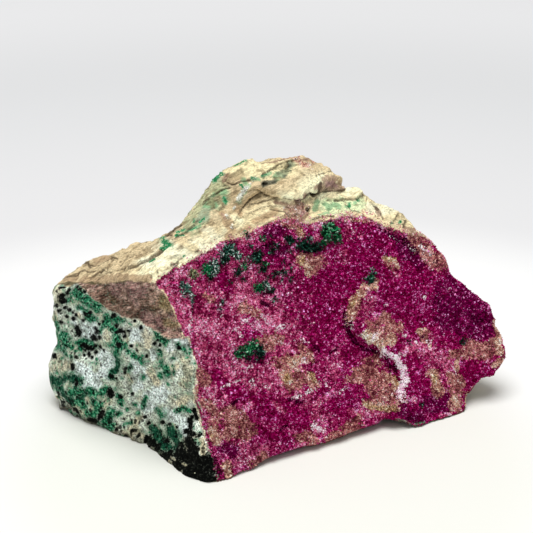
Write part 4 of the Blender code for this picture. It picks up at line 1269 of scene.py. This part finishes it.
class Nodes:
    """A material and the nodes it is made of. Each pattern's wave is in millimetres."""

    def __init__(self, name):
        self.material = bpy.data.materials.new(name)
        self.material.use_nodes = True
        self.tree = self.material.node_tree
        self.shader = self.tree.nodes["Principled BSDF"].inputs
        self.place = self.add("TexCoord", {})["Object"]

    def feed(self, socket, value):
        """Links a socket to the value, or sets the socket to it."""
        if isinstance(value, bpy.types.NodeSocket):
            self.tree.links.new(value, socket)
        elif socket.type == "RGBA":
            socket.default_value = (*value, 1.0)
        else:
            socket.default_value = value

    def feed_all(self, sockets, inputs):
        for name, value in inputs.items():
            self.feed(sockets[name], value)

    def add(self, kind, inputs, **settings):
        """The outputs of a new node, whose inputs are given by their names or numbers."""
        node = self.tree.nodes.new("ShaderNode" + kind)
        for name, value in settings.items():
            setattr(node, name, value)
        self.feed_all(node.inputs, inputs)
        return node.outputs

    def layer(self, name, output="Fac"):
        return self.add("Attribute", {}, attribute_name=name)[output]

    def noise(self, place, wave, detail=2.0):
        inputs = {"Vector": place, "Scale": 1.0 / (wave * MM), "Detail": detail, "Roughness": 0.6}
        return self.add("TexNoise", inputs)["Fac"]

    def drawn_out(self, along, stretch):
        """Coordinates that make a pattern longer in one direction."""
        squash = along * (1.0 / stretch - 1.0)
        run = self.add("VectorMath", {0: self.place, 1: squash}, operation="DOT_PRODUCT")["Value"]
        shift = self.add("VectorMath", {0: along, "Scale": run}, operation="SCALE")["Vector"]
        return self.add("VectorMath", {0: self.place, 1: shift}, operation="ADD")["Vector"]

    def scaled(self, colour, share):
        return self.add("VectorMath", {0: colour, "Scale": share}, operation="SCALE")["Vector"]

    def between(self, value, low, high, to_low=0.0, to_high=1.0):
        """The value, spread from the range low to high onto another one."""
        inputs = {"Value": value, "From Min": low, "From Max": high, "To Min": to_low, "To Max": to_high}
        return self.add("MapRange", inputs)["Result"]

    def worked(self, operation, first, second):
        return self.add("Math", {0: first, 1: second}, operation=operation)["Value"]

    def blended(self, share, first, second):
        """A mix of two colours. A mix node's colours are its sockets 6 and 7, and its third output."""
        return self.add("Mix", {"Factor": share, 6: first, 7: second}, data_type="RGBA")[2]

    def finished(self, colour, roughness, gloss, more=None):
        """The material, with its shader's inputs set."""
        inputs = {"Base Color": colour, "Roughness": roughness, "Specular IOR Level": gloss, **(more or {})}
        self.feed_all(self.shader, inputs)
        return self.material


def rock_material():
    skin = Nodes("rock_skin")
    fine, coarse = skin.noise(skin.place, 0.45), skin.noise(skin.place, 1.1)
    tiny = skin.noise(skin.place, 0.55, 4.0)
    beds = skin.noise(skin.drawn_out(BED_RUN, 7.0), 0.42)
    fibres = skin.noise(skin.drawn_out(MAUVE_GRAIN, 5.0), 0.4)
    colour = skin.layer("tint", "Color")
    for pattern, layer, dark, light in (
        (fine, "mottle", -0.75, 0.6), (coarse, "mottle", -0.15, 0.12), (beds, "bedding", -0.3, 0.24),
        (fibres, "fibre", -0.7, 0.75),
    ):
        change = skin.between(pattern, 0.36, 0.64, dark, light)
        change = skin.worked("MULTIPLY", change, skin.layer(layer))
        colour = skin.scaled(colour, skin.worked("ADD", change, 1.0))
    ragged = skin.between(fine, 0.0, 1.0, -2.0, 2.0)

    # Malachite crust, with a pale halo round it.
    green = skin.worked("ADD", skin.layer("green"), ragged)
    colour = skin.blended(skin.between(green, -0.9, 0.0, 0.0, 0.35), colour, srgb(140, 190, 160))
    light = skin.between(skin.worked("ADD", coarse, fine), 0.88, 1.14)
    greens = skin.blended(light, srgb(3, 38, 26), srgb(44, 142, 98))
    greens = skin.scaled(greens, skin.between(tiny, 0.40, 0.50, 0.12, 1.0))
    greens = skin.blended(skin.between(tiny, 0.56, 0.66), greens, srgb(150, 212, 176))
    greens = skin.blended(skin.layer("deep"), greens, srgb(8, 48, 36))
    greens = skin.blended(skin.layer("vivid"), greens, srgb(60, 150, 92))
    colour = skin.blended(skin.between(green, -0.08, 0.14), colour, greens)

    # Small black specks, each in its own cell and of its own size.
    cells = skin.add("TexVoronoi", {"Vector": skin.place, "Scale": 1.0 / (SPECK_CELL * MM)})
    chance = skin.add("SeparateColor", {"Color": cells["Color"]})["Red"]
    size = skin.worked("MULTIPLY", skin.between(chance, 0.4, 1.0, 0.0, 0.75), skin.layer("specks"))
    speck = skin.between(skin.worked("SUBTRACT", size, cells["Distance"]), -0.04, 0.06)
    colour = skin.blended(speck, colour, skin.scaled(colour, 0.1))

    # Black crust, and dark cracks, whose brown is painted shade in them.
    black = skin.worked("ADD", skin.layer("black"), skin.between(fine, 0.0, 1.0, -1.3, 1.3))
    blacks = skin.blended(skin.between(tiny, 0.56, 0.68), srgb(3, 4, 3), srgb(48, 52, 45))
    colour = skin.blended(skin.between(black, -0.05, 0.12), colour, blacks)
    crack = skin.worked("ADD", skin.layer("crack"), ragged)
    colour = skin.blended(skin.between(crack, -0.3, 0.7, 0.0, 0.7), colour, srgb(72, 54, 38))

    height = skin.worked("ADD", fine, coarse)
    for pattern, layer in ((beds, "bedding"), (fibres, "fibre")):
        height = skin.worked("ADD", height, skin.worked("MULTIPLY", pattern, skin.layer(layer)))
    bump = skin.add("Bump", {"Strength": 0.9, "Distance": BUMP_DEPTH * MM, "Height": height})["Normal"]
    return skin.finished(colour, 0.8, 0.05, {"Normal": bump})


def crystal_material(name, roughness, gloss, sheen):
    """Small crystals, whose reflections take the sheen's colour."""
    crystal = Nodes(name)
    fine = crystal.noise(crystal.place, 0.3)
    colour = crystal.scaled(crystal.layer("tint", "Color"), crystal.between(fine, 0.3, 0.7, 0.75, 1.2))
    return crystal.finished(colour, roughness, gloss, {"Specular Tint": srgb(*sheen)})


def floor_material():
    """Paper that is a little greyer away from the object."""
    paper = Nodes("floor_paper")
    away = paper.add("VectorMath", {0: paper.place}, operation="LENGTH")["Value"]
    tones = paper.tree.nodes.new("ShaderNodeValToRGB")
    paper.feed(tones.inputs["Fac"], paper.between(away, 0.0, FLOOR_REACH))
    tones.color_ramp.interpolation = "EASE"
    stops = tones.color_ramp.elements
    while len(stops) < len(FLOOR_TONES):
        stops.new(1.0)
    for stop, (distance, colour) in zip(stops, FLOOR_TONES):
        stop.position = distance / FLOOR_REACH
        stop.color = (*colour, 1.0)
    return paper.finished(tones.outputs["Color"], 0.9, 0.1)


# ---------------------------------------------------------------- room


def build_floor():
    mesh = bpy.data.meshes.new("floor")
    corners = [(x * FLOOR_HALF, y * FLOOR_HALF, 0) for x, y in ((-1, -1), (1, -1), (1, 1), (-1, 1))]
    mesh.from_pydata(corners, [], [(0, 1, 2, 3)])
    mesh.materials.append(floor_material())
    floor = new_object("floor", mesh)
    floor.location = FLOOR_MIDDLE
    return floor


def aimed(piece, place, ahead):
    """Puts a lamp or a camera at a place, looking ahead."""
    piece.location = place
    piece.rotation_mode = "QUATERNION"
    piece.rotation_quaternion = Vector(ahead).to_track_quat("-Z", "Y")


def build_room():
    world = bpy.data.worlds.new("room")
    bpy.context.scene.world = world
    world.use_nodes = True
    background = world.node_tree.nodes["Background"].inputs
    background["Color"].default_value = (1.0, 1.0, 1.0, 1.0)
    background["Strength"].default_value = ROOM_LIGHT
    key = bpy.data.lights.new("key", "AREA")
    key.shape = "DISK"
    key.size = KEY_SIZE
    key.energy = KEY_WATTS
    aimed(new_object("key", key), KEY_PLACE, Vector(KEY_TARGET) - Vector(KEY_PLACE))
    return build_floor()


def build_camera():
    data = bpy.data.cameras.new("camera")
    data.sensor_width = SENSOR
    data.lens = SENSOR * FOCAL_PX / FRAME_PX
    data.clip_start = 0.01
    data.clip_end = 20.0
    camera = new_object("camera", data)
    aimed(camera, CAMERA_PLACE * MM, -BACKWARD)
    bpy.context.scene.camera = camera


# ---------------------------------------------------------------- all of it

build_camera()
build_room()
bpy.context.scene.view_settings.view_transform = "Standard"

rock, zones = build_rock()
rock.data.materials.append(rock_material())
tree = skin_tree(rock.data)
crust = crystal_material("dolomite_crust", 0.5, 0.0, (255, 120, 180))
bright = crystal_material("dolomite_crystal", 0.15, 0.15, (255, 150, 200))
pieces = [rock] + build_druse(rock.data, zones, crust, bright)
pieces.append(build_tufts(tree, crystal_material("malachite", 0.35, 0.3, (200, 240, 215))))
pieces.append(build_top_crystals(tree, crystal_material("matrix_crystal", 0.3, 0.4, (255, 250, 235))))

for piece in pieces:
    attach(piece, ROOT)
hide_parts(NODE)
